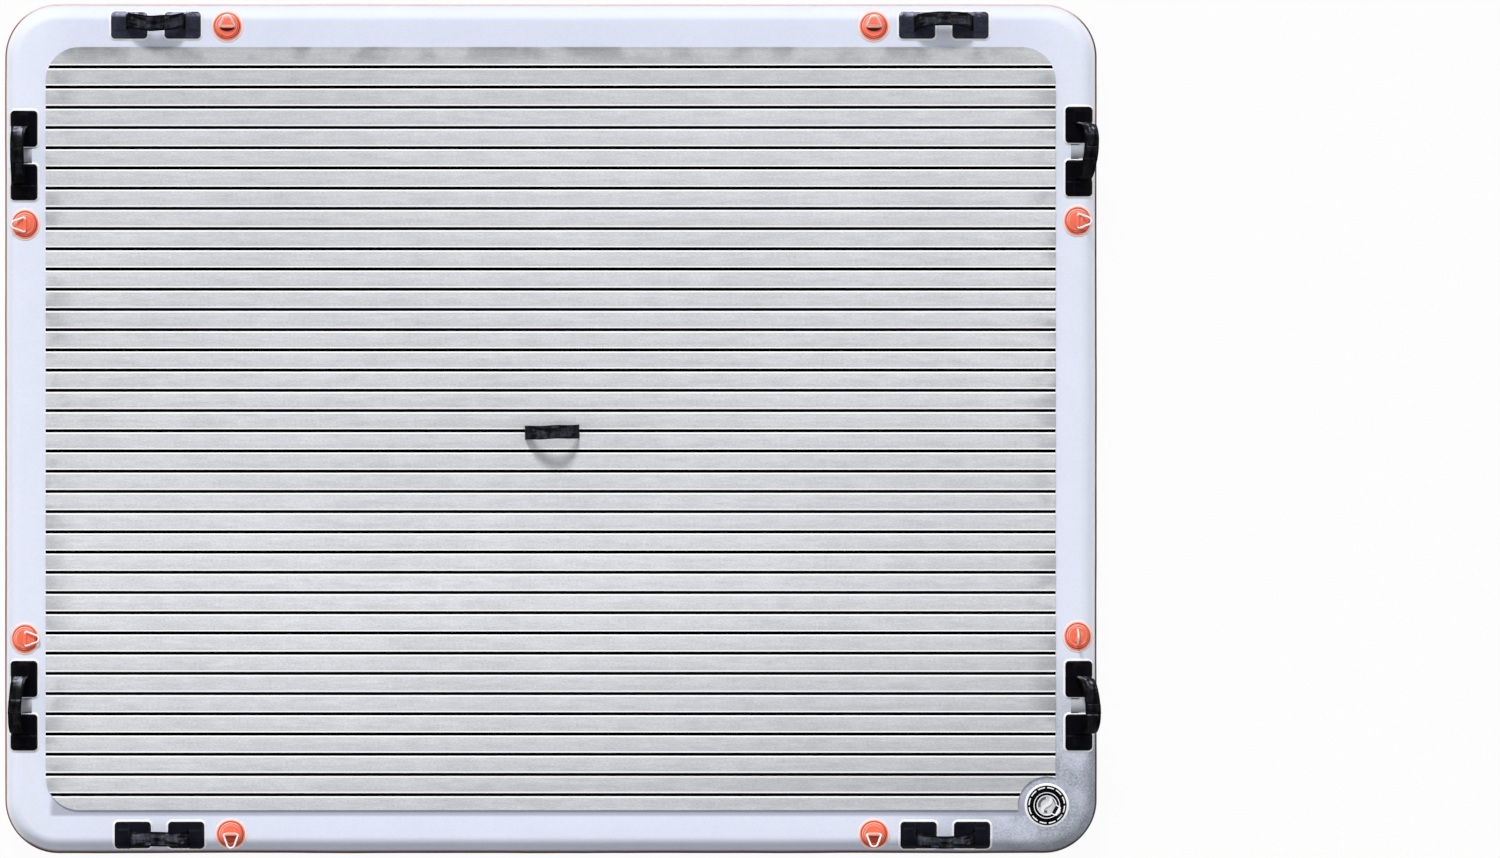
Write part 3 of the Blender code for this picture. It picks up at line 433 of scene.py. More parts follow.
def blackPatchMaterial():
    # black vinyl, lighter on the back patches and a little lighter on the front ones, with a painted sheen
    # near the back patches' outer edge
    material, tree, shader = newMaterial("blackHandlePatch", Specular_IOR_Level=0.03)
    where = coordinates(tree)
    y = split(tree, where)[1]
    color = mixColor(tree, ramp(tree, y, 0.93, 0.97), patchTints["ends"], patchTints["back"])
    color = mixColor(tree, ramp(tree, y, -0.93, -0.97), color, patchTints["front"])
    patchy = noiseAt(tree, where, 42.0, 3.0)
    # painted sheen where the back patches curve down at their outer edge
    sheen = product(tree, ramp(tree, y, 1.031, 1.041), remap(tree, patchy, 0.42, 0.58, 0.1, 1.0))
    color = mixColor(tree, sheen, color, patchTints["sheen"])
    color = clouded(tree, color, 0.03, 0.25, 0.004, 0.3)["Color"]
    finishMoulded(tree, shader, rubbedAtEdges(tree, color, patchTints["rubbed"]), 0.45, spread=0.06)
    return material


ringBelts = (
    # painted shade and painted highlight on the sides of the two raised rings: middle radius, half width,
    # from which side, colour
    (0.0302, 0.0014, 1.6, 0.6, linear(186, 66, 56)),
    (0.0305, 0.0020, 0.3, -0.5, linear(146, 34, 28)),
    (0.0262, 0.0013, 0.1, -0.6, linear(176, 52, 40)),
    (0.0288, 0.0015, 0.0, 0.7, linear(255, 196, 180)),
    (0.0225, 0.0016, 0.0, 0.7, linear(255, 184, 160)),
    (0.0355, 0.0016, -0.9, 0.3, linear(255, 150, 132)),
    (0.0318, 0.0014, -0.2, 0.8, linear(206, 74, 58)),
)


def ringPatchMaterial():
    # soft orange patch, its UV map holds the place from the patch's middle in metres
    material, tree, shader = newMaterial("orangeRingPatch", Specular_IOR_Level=0.35)
    uv = coordinates(tree, "UV")
    away = vectorMath(tree, "LENGTH", uv, output="Value")
    outward = vectorMath(tree, "NORMALIZE", uv)
    facing = vectorMath(tree, "DOT_PRODUCT", outward, (-0.45, 0.89, 0), output="Value")
    worn = remap(tree, noiseAt(tree, uv, 90.0, 3.0), 0.35, 0.6, 0.65, 1.0)
    color = clouded(tree, linear(247, 116, 86), 0.04, 0.07, 0.003, 0.06)["Color"]
    for middle, half, start, end, tint in ringBelts:
        off = calc(tree, "ABSOLUTE", calc(tree, "SUBTRACT", away, middle))
        belt = ramp(tree, off, half * 1.3, half * 0.5)
        color = mixColor(tree, product(tree, belt, ramp(tree, facing, start, end), worn), color, tint)
    finishMoulded(tree, shader, rubbedAtEdges(tree, color, linear(255, 196, 178)), 0.4)
    return material


def webbingMaterial(name, light, dark):
    material, tree, shader = newMaterial(name, Roughness=0.5, Specular_IOR_Level=0.04)
    ribs = placeGroup(tree, webbingGroup, {"Light": light, "Dark": dark})
    # painted highlight: a pale sun colour painted on the raised ends of the side handles
    x, y, _ = split(tree, coordinates(tree))
    atSide = ramp(tree, calc(tree, "ABSOLUTE", x), 1.15, 1.2)
    # darker on the side handles and lighter on the front ones
    level = total(tree, product(tree, atSide, -0.62), ramp(tree, y, -0.9, -0.95, 0.85, 1.9))
    placeToned = brighten(tree, level, ribs["Color"])
    color = mixColor(tree, product(tree, ribs["Painted Highlight"], atSide, 0.75), placeToned, linear(186, 186, 204))
    send(tree, shader["Base Color"], clouded(tree, color, 0.03, 0.2, 0.002, 0.1)["Color"])
    bumpOn(tree, shader, ribs["Height"], 0.0003)
    return material


pad = {
    "length": 2.533,
    "width": 1.914,
    "thickness": 0.005,
    "corner": 0.085,
    "pitch": 0.0507,
    "shift": -0.0055,         # middle groove from the pad's middle
    "groovesEachSide": 18,
    "grooveWidth": 0.0078,
    "grooveDepth": 0.0022,
    "lip": 0.0006,            # rounding of the foam beside a groove
    "rim": 0.0007,
    "paleEdge": 0.0040,       # foam beside a groove is painted paler: painted highlight on the lips
    "notchRadius": 0.0725,
    "overrun": 0.02,          # by which cutting forms pass the foam
    "face": linear(211, 212, 216),
    "pale": linear(254, 254, 255),
    "core": (0, 0, 0, 1),
    # cloud size and depth, grain size and depth, stretch
    "broadClouds": (0.35, 0.035, 0.009, 0.08, 7.0),
    "fineClouds": (0.035, 0.03, 0.0035, 0.10, 2.0),
    # painted light and shade in broad tones across the deck: where they start and are full along Y and X,
    # change in brightness
    "corners": {
        "backLeft": ((0.35, 0.75), (0.2, -0.8), -0.05),
        "frontLeft": ((-0.35, -0.7), (0.2, -0.8), 0.05),
        "frontRight": ((0.15, -0.35), (-0.3, 1.25), -0.12),
    },
    # painted light and shade along Y near the pad's back and front edges: where they start, where they are
    # full and how much brighter the foam gets
    "tones": {
        "backEdge": (0.74, 0.95, -0.15),
        "frontEdge": (-0.55, -0.95, -0.08),
        "lastBackPlank": (0.90, 0.915, -0.055),
        "lastFrontPlank": (-0.915, -0.93, 0.045),
        "backRim": (0.948, 0.951, -0.07),
        "frontRim": (-0.9495, -0.9515, 0.04),
    },
}


def foamMaterial():
    material, tree, shader = newMaterial("greyDeckFoam", Roughness=0.9, Specular_IOR_Level=0.15)
    where = coordinates(tree)
    x, y, _ = split(tree, where)
    rows = calc(tree, "DIVIDE", calc(tree, "SUBTRACT", y, pad["shift"]), pad["pitch"])
    offset = calc(tree, "SUBTRACT", rows, calc(tree, "ROUND", rows))
    distance = product(tree, calc(tree, "ABSOLUTE", offset), pad["pitch"])
    lipEnd = pad["grooveWidth"] / 2 + pad["paleEdge"]
    grooved = ramp(tree, calc(tree, "ABSOLUTE", y), 0.940, 0.938)
    # painted highlight: the lips beside each groove are painted paler
    pale = product(tree, remap(tree, distance, lipEnd + 0.0003, lipEnd - 0.0006), grooved)
    toned = clouded(tree, pad["face"], *pad["broadClouds"])
    fine = clouded(tree, toned["Color"], *pad["fineClouds"])
    # painted light: paler across the front half
    bright = ramp(tree, calc(tree, "ABSOLUTE", total(tree, y, 0.36)), 0.30, 0.03, 0.0, 0.09)
    corners = [product(tree, ramp(tree, y, *alongY), ramp(tree, x, *alongX), change)
               for alongY, alongX, change in pad["corners"].values()]
    smudge = noiseAt(tree, where, 9.0, 3.0)
    edgeStain = calc(tree, "MINIMUM", ramp(tree, calc(tree, "ABSOLUTE", x), 1.18, 1.265, 0.0, -0.28),
                     ramp(tree, y, 0.89, 0.955, 0.0, -0.24))
    ends = product(tree, edgeStain, remap(tree, smudge, 0.47, 0.60))
    edges = [ramp(tree, y, low, high, 0.0, change) for low, high, change in pad["tones"].values()]
    tone = total(tree, 1.0, bright, *corners, ends, *edges)
    shaded = brighten(tree, tone, fine["Color"])
    send(tree, shader["Base Color"], mixColor(tree, pale, shaded, pad["pale"]))
    bumpOn(tree, shader, total(tree, fine["Grain"], toned["Grain"]), 0.00010)
    return material


def foamCoreMaterial():
    material, tree, shader = newMaterial("blackFoamCore", Roughness=1.0, Specular_IOR_Level=0.0)
    toned = clouded(tree, pad["core"], 0.05, 0.2, 0.002, 0.3)
    send(tree, shader["Base Color"], toned["Color"])
    bumpOn(tree, shader, toned["Grain"], 0.0001)
    return material


def steelMaterial():
    # the wire's bright look is painted: a near-white base with little metal stands in for its reflections
    material, tree, shader = newMaterial("stainlessWire", Metallic=0.12)
    color = clouded(tree, linear(252, 252, 254), 0.01, 0.04, 0.0006, 0.05)["Color"]
    finishMoulded(tree, shader, color, 0.34, spread=0.06, pebble=0.0004, depth=0.000008)
    return material


finishes = {
    "whiteSkin": skinMaterial(),
    "haloLine": coatedCloth("whiteHaloLine", linear(254, 254, 255)),
    "pinkHaloLine": coatedCloth("pinkHaloLine", linear(255, 234, 232)),
    "orangeBand": bandMaterial(),
    "strapShadow": coatedCloth("greyUnderTape", linear(176, 178, 187)),
    "seamTape": coatedCloth("innerSeamTape", linear(206, 209, 214)),
    "coreCloth": coatedCloth("dropStitchCloth", linear(216, 216, 212), 0.9, pitch=0.003, depth=0.0004),
    "blackPatch": blackPatchMaterial(),
    "orangePatch": ringPatchMaterial(),
    "keeperHighlight": softPlastic("paintedHighlightKeeper", linear(255, 178, 162), linear(255, 206, 196), 0.4,
                                rubbing=0.7),
    "keeperShadow": softPlastic("darkRedSlot", linear(96, 18, 16), linear(150, 40, 30), 0.6, specular=0.1),
    "frontShade": softPlastic("shadedOrange", linear(176, 66, 46), linear(200, 90, 60), 0.6, specular=0.1),
    "blackPlastic": softPlastic("blackValvePlastic", linear(6, 6, 8), linear(60, 60, 66), 0.4,
                                pebble=0.0008, depth=0.00003, specular=0.03),
    # the pale cap's creases are painted darker: painted shade
    "palePlastic": softPlastic("paleCapPlastic", linear(232, 233, 236), linear(255, 255, 255), 0.38,
                               pebble=0.0007, depth=0.00002, rubbing=0.8, crease=linear(96, 97, 100)),
    "hollowShadow": softPlastic("shadedCapPlastic", linear(46, 47, 52), linear(150, 151, 156), 0.5,
                                 pebble=0.0007, depth=0.00002, specular=0.2),
    "markPlastic": softPlastic("whiteMarkPlastic", linear(250, 250, 252), linear(255, 255, 255), 0.5,
                               pebble=0.0007, depth=0.00001),
    "webbing": webbingMaterial("blackWebbing", linear(54, 54, 62), linear(12, 12, 16)),
    "hem": webbingMaterial("greyHemThread", linear(176, 176, 180), linear(96, 96, 100)),
    "thread": softPlastic("blackStitchThread", linear(44, 44, 48), linear(96, 96, 100), 0.6,
                          pebble=0.0005, depth=0.00008),
    "foam": foamMaterial(),
    "foamCore": foamCoreMaterial(),
    "steel": steelMaterial(),
}
print("materials:", len(finishes))


def newObject(name, data):
    made = bpy.data.objects.new(name, data)
    bpy.context.scene.collection.objects.link(made)
    return made


def meshOf(bm, name):
    mesh = bpy.data.meshes.new(name)
    bm.to_mesh(mesh)
    bm.free()
    return mesh


def smoothed(mesh, degrees):
    mesh.shade_smooth()
    mesh.set_sharp_from_angle(angle=math.radians(degrees))


def publish(bm, name, finishNames, stands=(), body="platform", smooth=40):
    mesh = meshOf(bm, name)
    for finishName in finishNames:
        mesh.materials.append(finishes[finishName])
    smoothed(mesh, smooth)
    piece = newObject(name, mesh)
    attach(piece, body)
    if stands:
        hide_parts(*stands)
    return piece


def giveWall(piece, thickness, offset=1):
    # an offset of 1 grows outwards, -1 inwards and 0 to both sides
    wall = piece.modifiers.new("wall", "SOLIDIFY")
    wall.thickness = thickness
    wall.offset = offset
    wall.use_even_offset = True


def roundEdges(piece, width, segments=2, degrees=40):
    bevel = piece.modifiers.new("roundEdges", "BEVEL")
    bevel.width = width
    bevel.segments = segments
    bevel.limit_method = "ANGLE"
    bevel.angle_limit = math.radians(degrees)


def applied(bm, cutters):
    # cuts a closed form with others and gives back one bmesh
    holder = newObject("cutting", meshOf(bm, "cutting"))
    tools = []
    for cutter, operation in cutters:
        tool = newObject("cutter", meshOf(cutter, "cutter"))
        cut = holder.modifiers.new(operation, "BOOLEAN")
        cut.object = tool
        cut.operation = operation
        tools.append(tool)
    bpy.context.view_layer.update()
    depsgraph = bpy.context.evaluated_depsgraph_get()
    mesh = bpy.data.meshes.new_from_object(holder.evaluated_get(depsgraph))
    made = bmesh.new()
    made.from_mesh(mesh)
    bpy.data.meshes.remove(mesh)
    for item in [holder, *tools]:
        bpy.data.objects.remove(item, do_unlink=True)
    bmesh.ops.remove_doubles(made, verts=made.verts, dist=0.000005)
    return made


def boxForm(low, high):
    size = Vector(high) - Vector(low)
    place = Matrix.Translation((Vector(high) + Vector(low)) / 2)
    bm = bmesh.new()
    bmesh.ops.create_cube(bm, size=1, matrix=place @ Matrix.Diagonal((*size, 1)))
    return bm


def everything(bm):
    return bm.verts[:] + bm.edges[:] + bm.faces[:]


def onlyKind(items, kind):
    return [item for item in items if isinstance(item, kind)]


def moveForm(bm, move):
    bmesh.ops.translate(bm, verts=bm.verts, vec=move)


def facingUp(bm):
    if sum(face.normal.z for face in bm.faces) < 0:
        bmesh.ops.reverse_faces(bm, faces=bm.faces)


def mirrorForm(bm, side):
    # side -1 mirrors along X, 1 leaves the form as it is
    bmesh.ops.scale(bm, verts=bm.verts, vec=(side, 1, 1))
    if side < 0:
        bmesh.ops.reverse_faces(bm, faces=bm.faces)


def uprightEdges(bm, least):
    return [edge for edge in bm.edges if abs(edge.verts[0].co.z - edge.verts[1].co.z) > least]


def bevelEdges(bm, edges, width, segments):
    return bmesh.ops.bevel(bm, geom=edges, offset=width, offset_type="OFFSET", affect="EDGES",
                           segments=segments, profile=0.5, material=-1)


def drum(radius, low, high, steps, center=(0, 0)):
    bm = bmesh.new()
    place = Matrix.Translation((*center, (low + high) / 2))
    bmesh.ops.create_cone(bm, cap_ends=True, segments=steps, radius1=radius, radius2=radius,
                          depth=high - low, matrix=place)
    return bm


def turned(profile, steps, closed=False):
    # a profile of (radius, height) spun about Z
    bm = bmesh.new()
    verts = [bm.verts.new((radius, 0, height)) for radius, height in profile]
    for first, second in zip(verts, verts[1:]):
        bm.edges.new((first, second))
    if closed:
        bm.edges.new((verts[-1], verts[0]))
    bmesh.ops.spin(bm, geom=bm.verts[:] + bm.edges[:], cent=(0, 0, 0), axis=(0, 0, 1),
                   angle=2 * math.pi, steps=steps, use_merge=True, use_duplicate=False)
    bmesh.ops.remove_doubles(bm, verts=bm.verts, dist=0.00001)
    bmesh.ops.recalc_face_normals(bm, faces=bm.faces)
    return bm


def sliceAlong(bm, axis, places):
    normal = Vector([1 if number == axis else 0 for number in range(3)])
    for place in places:
        bmesh.ops.bisect_plane(bm, geom=everything(bm), dist=0.00001, plane_co=normal * place,
                               plane_no=normal)


def stepsBetween(low, high, step):
    count = max(1, round((high - low) / step))
    return [low + (high - low) * number / count for number in range(1, count)]


def ripple(point):
    # slight waves of the inflated side, none on the flat top
    away = Vector((point.x - max(-coreHalfLength, min(coreHalfLength, point.x)),
                   point.y - max(-coreHalfWidth, min(coreHalfWidth, point.y)), 0))
    if away.length < 1e-6:
        return Vector()
    depth = abs(point.z - dock["height"] / 2) / (dock["height"] / 2)
    weight = max(0, 1 - depth ** 6)
    wave = sum(noise.noise(Vector((point.x * flat, point.y * flat, point.z * up))) * share
               for flat, up, share in dock["waves"])
    return away.normalized() * dock["ripple"] * weight * (wave - dock["waveShift"])


def drape(bm, mount):
    # lays a flat form over the round side: X along the edge, Y outwards, Z above the skin
    bulge, fall = dock["sideBulge"], dock["sideHalfHeight"]
    for vert in bm.verts:
        along, across, height = vert.co
        base, normal = Vector((along, across, 0)), Vector((0, 0, 1))
        if across > 0:
            angle = math.asin(min(dock["sineLimit"], across / bulge))
            base.z = fall * (math.cos(angle) - 1)
            normal = Vector((0, math.sin(angle) / bulge, math.cos(angle) / fall)).normalized()
        vert.co = mount @ (base + normal * height)
        vert.co += ripple(vert.co)


def edgeMount(edge, place):
    turn, (x, y) = edgePlaces[edge]
    origin = (place, y, dock["height"]) if edge in ("back", "front") else (x, place, dock["height"])
    return Matrix.Translation(origin) @ Matrix.Rotation(turn, 4, "Z")


def middleAlong(edge, node):
    low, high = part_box(node)
    return (low.x + high.x) / 2 if edge in ("back", "front") else (low.y + high.y) / 2


# air chamber and side band, with the valve's place in them
chamber = {"cornerSteps": 18, "sideSteps": 18, "lengthCuts": 70, "widthCuts": 52, "wall": 0.0012}
band = {"height": 0.060, "thickness": 0.0012, "gap": 0.0003, "edge": 0.0005}
valve = {"x": 1.2445, "y": -0.945, "turn": math.radians(-28), "barrel": 0.0213, "steps": 72}


def chamberShell(low, high, offset=0):
    squash = dock["sideBulge"] / dock["sideHalfHeight"]
    size = Vector((dock["length"], dock["width"], dock["height"] * squash))
    bm = bmesh.new()
    bmesh.ops.create_cube(bm, size=1, matrix=Matrix.Diagonal((*size, 1)))
    limit = dock["sideBulge"]
    bevelEdges(bm, uprightEdges(bm, limit), dock["cornerRadius"], chamber["cornerSteps"])
    rims = [edge for edge in bm.edges if abs(edge.verts[0].co.z - edge.verts[1].co.z) < limit]
    bevelEdges(bm, rims, limit, chamber["sideSteps"])
    bmesh.ops.scale(bm, verts=bm.verts, vec=(1, 1, 1 / squash))
    moveForm(bm, (0, 0, dock["height"] / 2))
    for axis, cuts in ((0, chamber["lengthCuts"]), (1, chamber["widthCuts"])):
        runs = [e for e in bm.edges if abs(e.verts[0].co[axis] - e.verts[1].co[axis]) > 1]
        bmesh.ops.subdivide_edges(bm, edges=runs, cuts=cuts)
    for height, normal in ((low, (0, 0, -1)), (high, (0, 0, 1))):
        if 0 < height < dock["height"]:
            bmesh.ops.bisect_plane(bm, geom=everything(bm), plane_co=(0, 0, height), plane_no=normal,
                                   clear_outer=True)
    bm.normal_update()
    moves = [vert.normal * vert.calc_shell_factor() * offset for vert in bm.verts]
    for vert, move in zip(bm.verts, moves):
        vert.co += move
        vert.co += ripple(vert.co)
    return bm


def buildChamber():
    middle = dock["height"] / 2
    seam = band["gap"] / 2
    for name, stands, low, high in (("chamberTop", "top_skin", middle + seam, dock["height"]),
                                    ("chamberBottom", "bottom_skin", 0, middle - seam)):
        half = publish(chamberShell(low, high), name, ["whiteSkin"], [stands])
        giveWall(half, chamber["wall"], offset=-1)
        if name == "chamberTop":
            bpy.context.view_layer.update()
            solid = bmesh.new()
            solid.from_object(half, bpy.context.evaluated_depsgraph_get())
            reach = 0.01
            hole = drum(valve["barrel"], dock["height"] - reach, dock["height"] + reach, 48,
                        (valve["x"], valve["y"]))
            opened = applied(solid, [(hole, "DIFFERENCE")])
            half.modifiers.clear()
            opened.to_mesh(half.data)
            opened.free()
            smoothed(half.data, 40)
    low = middle - band["height"] / 2
    side = publish(chamberShell(low, low + band["height"], band["gap"]), "sideBand", ["orangeBand"],
                   ["rail_band"])
    giveWall(side, band["thickness"])
    roundEdges(side, band["edge"])


buildChamber()
print("chamber and side band made")


def grooveProfile():
    # the pad's section across its planks: flat tops, rounded lips, square grooves
    half = pad["width"] / 2 + pad["overrun"] / 2
    mouth = pad["grooveWidth"] / 2
    lip, depth = pad["lip"], pad["grooveDepth"]
    points = [(-half, 0), (-half, pad["thickness"])]
    for row in range(-pad["groovesEachSide"], pad["groovesEachSide"] + 1):
        middle = pad["shift"] + row * pad["pitch"]
        side = [(mouth + lip, 0), (mouth + lip * 0.4, -lip * 0.15), (mouth + lip * 0.1, -lip * 0.5),
                (mouth, -lip), (mouth, -depth)]
        points += [(middle - y, pad["thickness"] + z) for y, z in side]
        points += [(middle + y, pad["thickness"] + z) for y, z in reversed(side)]
    return points + [(half, pad["thickness"]), (half, 0)]


def buildDeckPad():
    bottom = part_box("deck_pad")[0].z
    half, over = pad["length"] / 2, pad["overrun"]
    low, high = bottom - over, bottom + over
    bm = bmesh.new()
    ring = [bm.verts.new((-half - over / 2, y, bottom + z)) for y, z in grooveProfile()]
    end = bm.faces.new(ring)
    grown = bmesh.ops.extrude_face_region(bm, geom=[end])["geom"]
    bmesh.ops.translate(bm, verts=onlyKind(grown, bmesh.types.BMVert), vec=(pad["length"] + over, 0, 0))
    bmesh.ops.recalc_face_normals(bm, faces=bm.faces)

    plan = boxForm((-half, -pad["width"] / 2, low), (half, pad["width"] / 2, high))
    bevelEdges(plan, uprightEdges(plan, over / 2), pad["corner"], 20)
    notch = drum(pad["notchRadius"], low, high, 72, (valve["x"], valve["y"]))
    cuts = [(plan, "INTERSECT"), (notch, "DIFFERENCE")]
    place = Matrix.Translation((*carry["place"], bottom)) @ Matrix.Rotation(carry["turn"], 4, "Z")
    slotReach = carry["width"] / 2 + carry["slotPlay"]
    for middle in (-carry["span"] / 2, carry["span"] / 2):
        slot = boxForm((middle - carry["slotHalf"], -slotReach, -over),
                       (middle + carry["slotHalf"], slotReach, over))
        bmesh.ops.transform(slot, matrix=place, verts=slot.verts)
        cuts.append((slot, "DIFFERENCE"))
    bm = applied(bm, cuts)
    top = bottom + pad["thickness"]
    for face in bm.faces:
        heights = [vert.co.z for vert in face.verts]
        inGroove = min(heights) > bottom + 0.0001 and max(heights) < top - pad["lip"] + 0.0001
        face.material_index = 1 if inGroove else 0
    # rounds the foam's upper rim
    rims = [edge for edge in bm.edges if len(edge.link_faces) == 2
            and min(vert.co.z for vert in edge.verts) > top - 0.00001
            and {round(abs(face.normal.z)) for face in edge.link_faces} == {0, 1}]
    bevelEdges(bm, rims, pad["rim"], 2)
    piece = publish(bm, "deckPad", ["foam", "foamCore"], ["deck_pad"], smooth=30)


# strap standing up in the middle of the deck
carry = {
    "span": 0.134, "rise": 0.070, "roundness": 1.6, "width": 0.035, "thickness": 0.002,
    "place": (0.004, -0.009), "turn": math.radians(1.3), "slotHalf": 0.0014, "slotPlay": 0.0004,
    "archSteps": 360, "lengthSteps": 84, "widthSteps": 10, "edge": 0.0006,
    # at its crown: how much narrower, how far it sways and lumps, how round it is across
    "narrowing": 0.03, "sway": 0.0008, "swayPitch": 62, "lump": 0.0009, "lumpScale": (26, 20), "dish": 2.0,
}


def ribbonForm(length, width, lengthSteps, widthSteps):
    # flat ribbon with its UV map in metres, V from its middle line
    bm = bmesh.new()
    size = Matrix.Diagonal((length, width, 1, 1))
    bmesh.ops.create_grid(bm, x_segments=lengthSteps, y_segments=widthSteps, size=0.5, matrix=size)
    layer = bm.loops.layers.uv.new("along")
    for face in bm.faces:
        for loop in face.loops:
            loop[layer].uv = (loop.vert.co.x + length / 2, loop.vert.co.y)
    return bm


def buildCarryStrap():
    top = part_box("deck_pad")[1].z
    foot = pad["thickness"]
    reach = carry["span"] / 2
    arch = []
    for number in range(carry["archSteps"] + 1):
        angle = math.pi * number / carry["archSteps"]
        side = -1 if angle < math.pi / 2 else 1
        arch.append((side * reach * abs(math.cos(angle)) ** (2 / carry["roundness"]),
                     carry["rise"] * math.sin(angle) ** (2 / carry["roundness"])))
    walked = [0]
    for first, second in zip(arch, arch[1:]):
        walked.append(walked[-1] + math.dist(first, second))
    arcLength = walked[-1]
    bm = ribbonForm(arcLength + 2 * foot, carry["width"], carry["lengthSteps"], carry["widthSteps"])
    turn = Matrix.Translation((*carry["place"], top)) @ Matrix.Rotation(carry["turn"], 4, "Z")
    for vert in bm.verts:
        along, across, _ = vert.co
        run = max(0, min(arcLength, along + arcLength / 2))
        spot = max(1, next(number for number, length in enumerate(walked) if length >= run - 1e-9))
        share = (run - walked[spot - 1]) / (walked[spot] - walked[spot - 1])
        x, z = Vector(arch[spot - 1]).lerp(Vector(arch[spot]), share)
        z -= max(0, abs(along) - arcLength / 2)
        crown = max(0, z) / carry["rise"]
        flat, wide = carry["lumpScale"]
        lump = noise.noise(Vector((along * flat, across * wide, 3.1)))
        sway = carry["sway"] * crown * math.sin(along * carry["swayPitch"] + 0.6)
        y = across * (1 - carry["narrowing"] * crown) + sway
        z += crown * (carry["lump"] * lump - carry["dish"] * across ** 2)
        vert.co = turn @ Vector((x, y, z))
    piece = publish(bm, "carryStrap", ["webbing"], ["carry_strap"])
    giveWall(piece, carry["thickness"], offset=0)
    roundEdges(piece, carry["edge"])


buildDeckPad()
buildCarryStrap()
print("deck pad and carry strap made")


# grab handles: two patches with pockets and a strap between them
# painted highlight: a thin pale halo sheet round each patch and the valve
halo = {"width": 0.0055, "lift": 0.0001, "ply": 0.00015}
handle = {
    "spacing": 0.134, "length": 0.091, "width": 0.066, "corner": 0.010,
    # patch middle from the flat top's end
    "across": {edge: -0.002 - pull for edge, pull in edgePull.items()},
    "ply": 0.0012, "span": 0.144, "rise": 0.045, "tail": 0.030,
    "strapWidth": 0.038, "strapThickness": 0.002, "mouth": 0.0745,
    "sleevePly": 0.0016, "hemWidth": 0.0034, "stitch": 0.0014, "stitchInset": 0.003, "seamInset": 0.004,
    "stitchLift": 0.0009, "threadRadius": 0.0004, "lengthSteps": 88, "widthSteps": 10,
    "strapGap": 0.0004,       # between the strap's ends and the patch
    "crownDrop": 0.003,       # the strap's middle surface lies this much under its top
    "curl": 0.0016,           # by which the strap's edges hang down
    "tailReach": 0.010,       # the strap's ends lie no further out of the patch's middle
    "pocketPlay": 0.0006, "pocketSide": 0.005, "pocketEnd": 0.006,
    # seams that stand out over the strap's end: place before the end, height and half width
    "pocketSeams": ((0.004, 0.0011, 0.0016), (0.010, 0.0010, 0.0017)),
    "seamShare": {"left": 1, "right": 0.3, "back": 0.3, "front": 0.3},
    "bead": 0.0007,           # height of the welded line round a patch
    "roundness": 2.5,         # of the strap's arch, 2 is an ellipse
    "lumpScale": (34, 30), "swayScale": 26,
    "haloSteps": (0.006, 0.003), "patchSteps": (0.003, 0.0022), "strapEdge": 0.0006,
    # the sleeve's overhang beside the strap, its height as a share of the strap's, its edge
    "sleeveOverhang": 0.0008, "sleeveLift": 0.95, "sleeveEdge": 0.0005,
    # the pale hem is shorter than the strap is wide, off its middle and half sunk in the sleeve
    "hemShort": 0.006, "hemShift": 0.0025, "hemLift": 0.62, "hemPly": 0.0009,
    "skinGap": 0.0003,
}
handleShapes = {
    # outward place of the strap at its first end, middle and last end, width seen from above at
    # the middle, lumps, sleeve start and end, place of a pale hem
    ("back", "left"): (0.0172, 0.0050, 0.0168, 0.038, 0.0024, -0.024, 0.022, None),
    ("back", "right"): (0.0036, 0.0166, 0.0050, 0.0345, 0.0008, -0.018, 0.018, None),
    ("front", "left"): (0.0110, 0.0104, 0.0077, 0.0360, 0.0020, -0.016, 0.020, None),
    ("front", "right"): (0.0050, 0.0185, 0.0055, 0.0305, 0.0014, -0.019, 0.017, None),
    ("left", "back"): (0.0090, 0.0170, 0.0105, 0.034, 0.0010, -0.018, 0.018, None),
    ("left", "front"): (0.0130, 0.0218, 0.0087, 0.0330, 0.0016, -0.020, 0.012, 0.0140),
    ("right", "back"): (0.0190, 0.0315, 0.0080, 0.0362, 0.0010, -0.012, 0.022, None),
    ("right", "front"): (0.0123, 0.0355, 0.0200, 0.038, 0.0010, -0.004, 0.020, 0.0225),
}


def roundedSheet(low, high, corner, roundLow=True):
    # one flat face with rounded corners, only at its far end where roundLow is off
    bm = bmesh.new()
    size = Vector(high) - Vector(low)
    place = Matrix.Translation((*((Vector(high) + Vector(low)) / 2), 0)) @ Matrix.Diagonal((*size, 1, 1))
    bmesh.ops.create_grid(bm, x_segments=1, y_segments=1, size=0.5, matrix=place)
    corners = [vert for vert in bm.verts if roundLow or vert.co.x > (low[0] + high[0]) / 2]
    bmesh.ops.bevel(bm, geom=corners, offset=corner, offset_type="OFFSET", affect="VERTICES",
                    segments=7, profile=0.5, material=-1)
    return bm


def insetSteps(bm, steps):
    inner = [max(bm.faces, key=lambda face: face.calc_area())]
    for width, lift in steps:
        bmesh.ops.inset_region(bm, faces=inner, thickness=width, depth=0, use_even_offset=True)
        bmesh.ops.translate(bm, verts=inner[0].verts[:], vec=(0, 0, lift))


def beadSteps():
    lift = handle["bead"]
    return ((0.0005, 0.0004), (0.0030, 0), (0.0006, lift * 0.8), (0.0005, lift * 0.2),
            (0.0005, -lift * 0.2), (0.0006, -lift * 0.8))


def easedStep(value, start, end):
    share = max(0, min(1, (value - start) / (end - start)))
    return share * share * (3 - 2 * share)


def tailPlace(shape, along):
    # outward place of the strap's end inside its pocket
    return max(-handle["tailReach"], min(handle["tailReach"], shape[0] if along < 0 else shape[2]))


def buildPaintedSheet(name, mount, form, finishName):
    # a thin sheet draped on the skin: the painted halo round a patch, and the painted strap shadow
    moveForm(form, (0, 0, halo["lift"]))
    drape(form, mount)
    piece = publish(form, name, [finishName])
    giveWall(piece, halo["ply"])


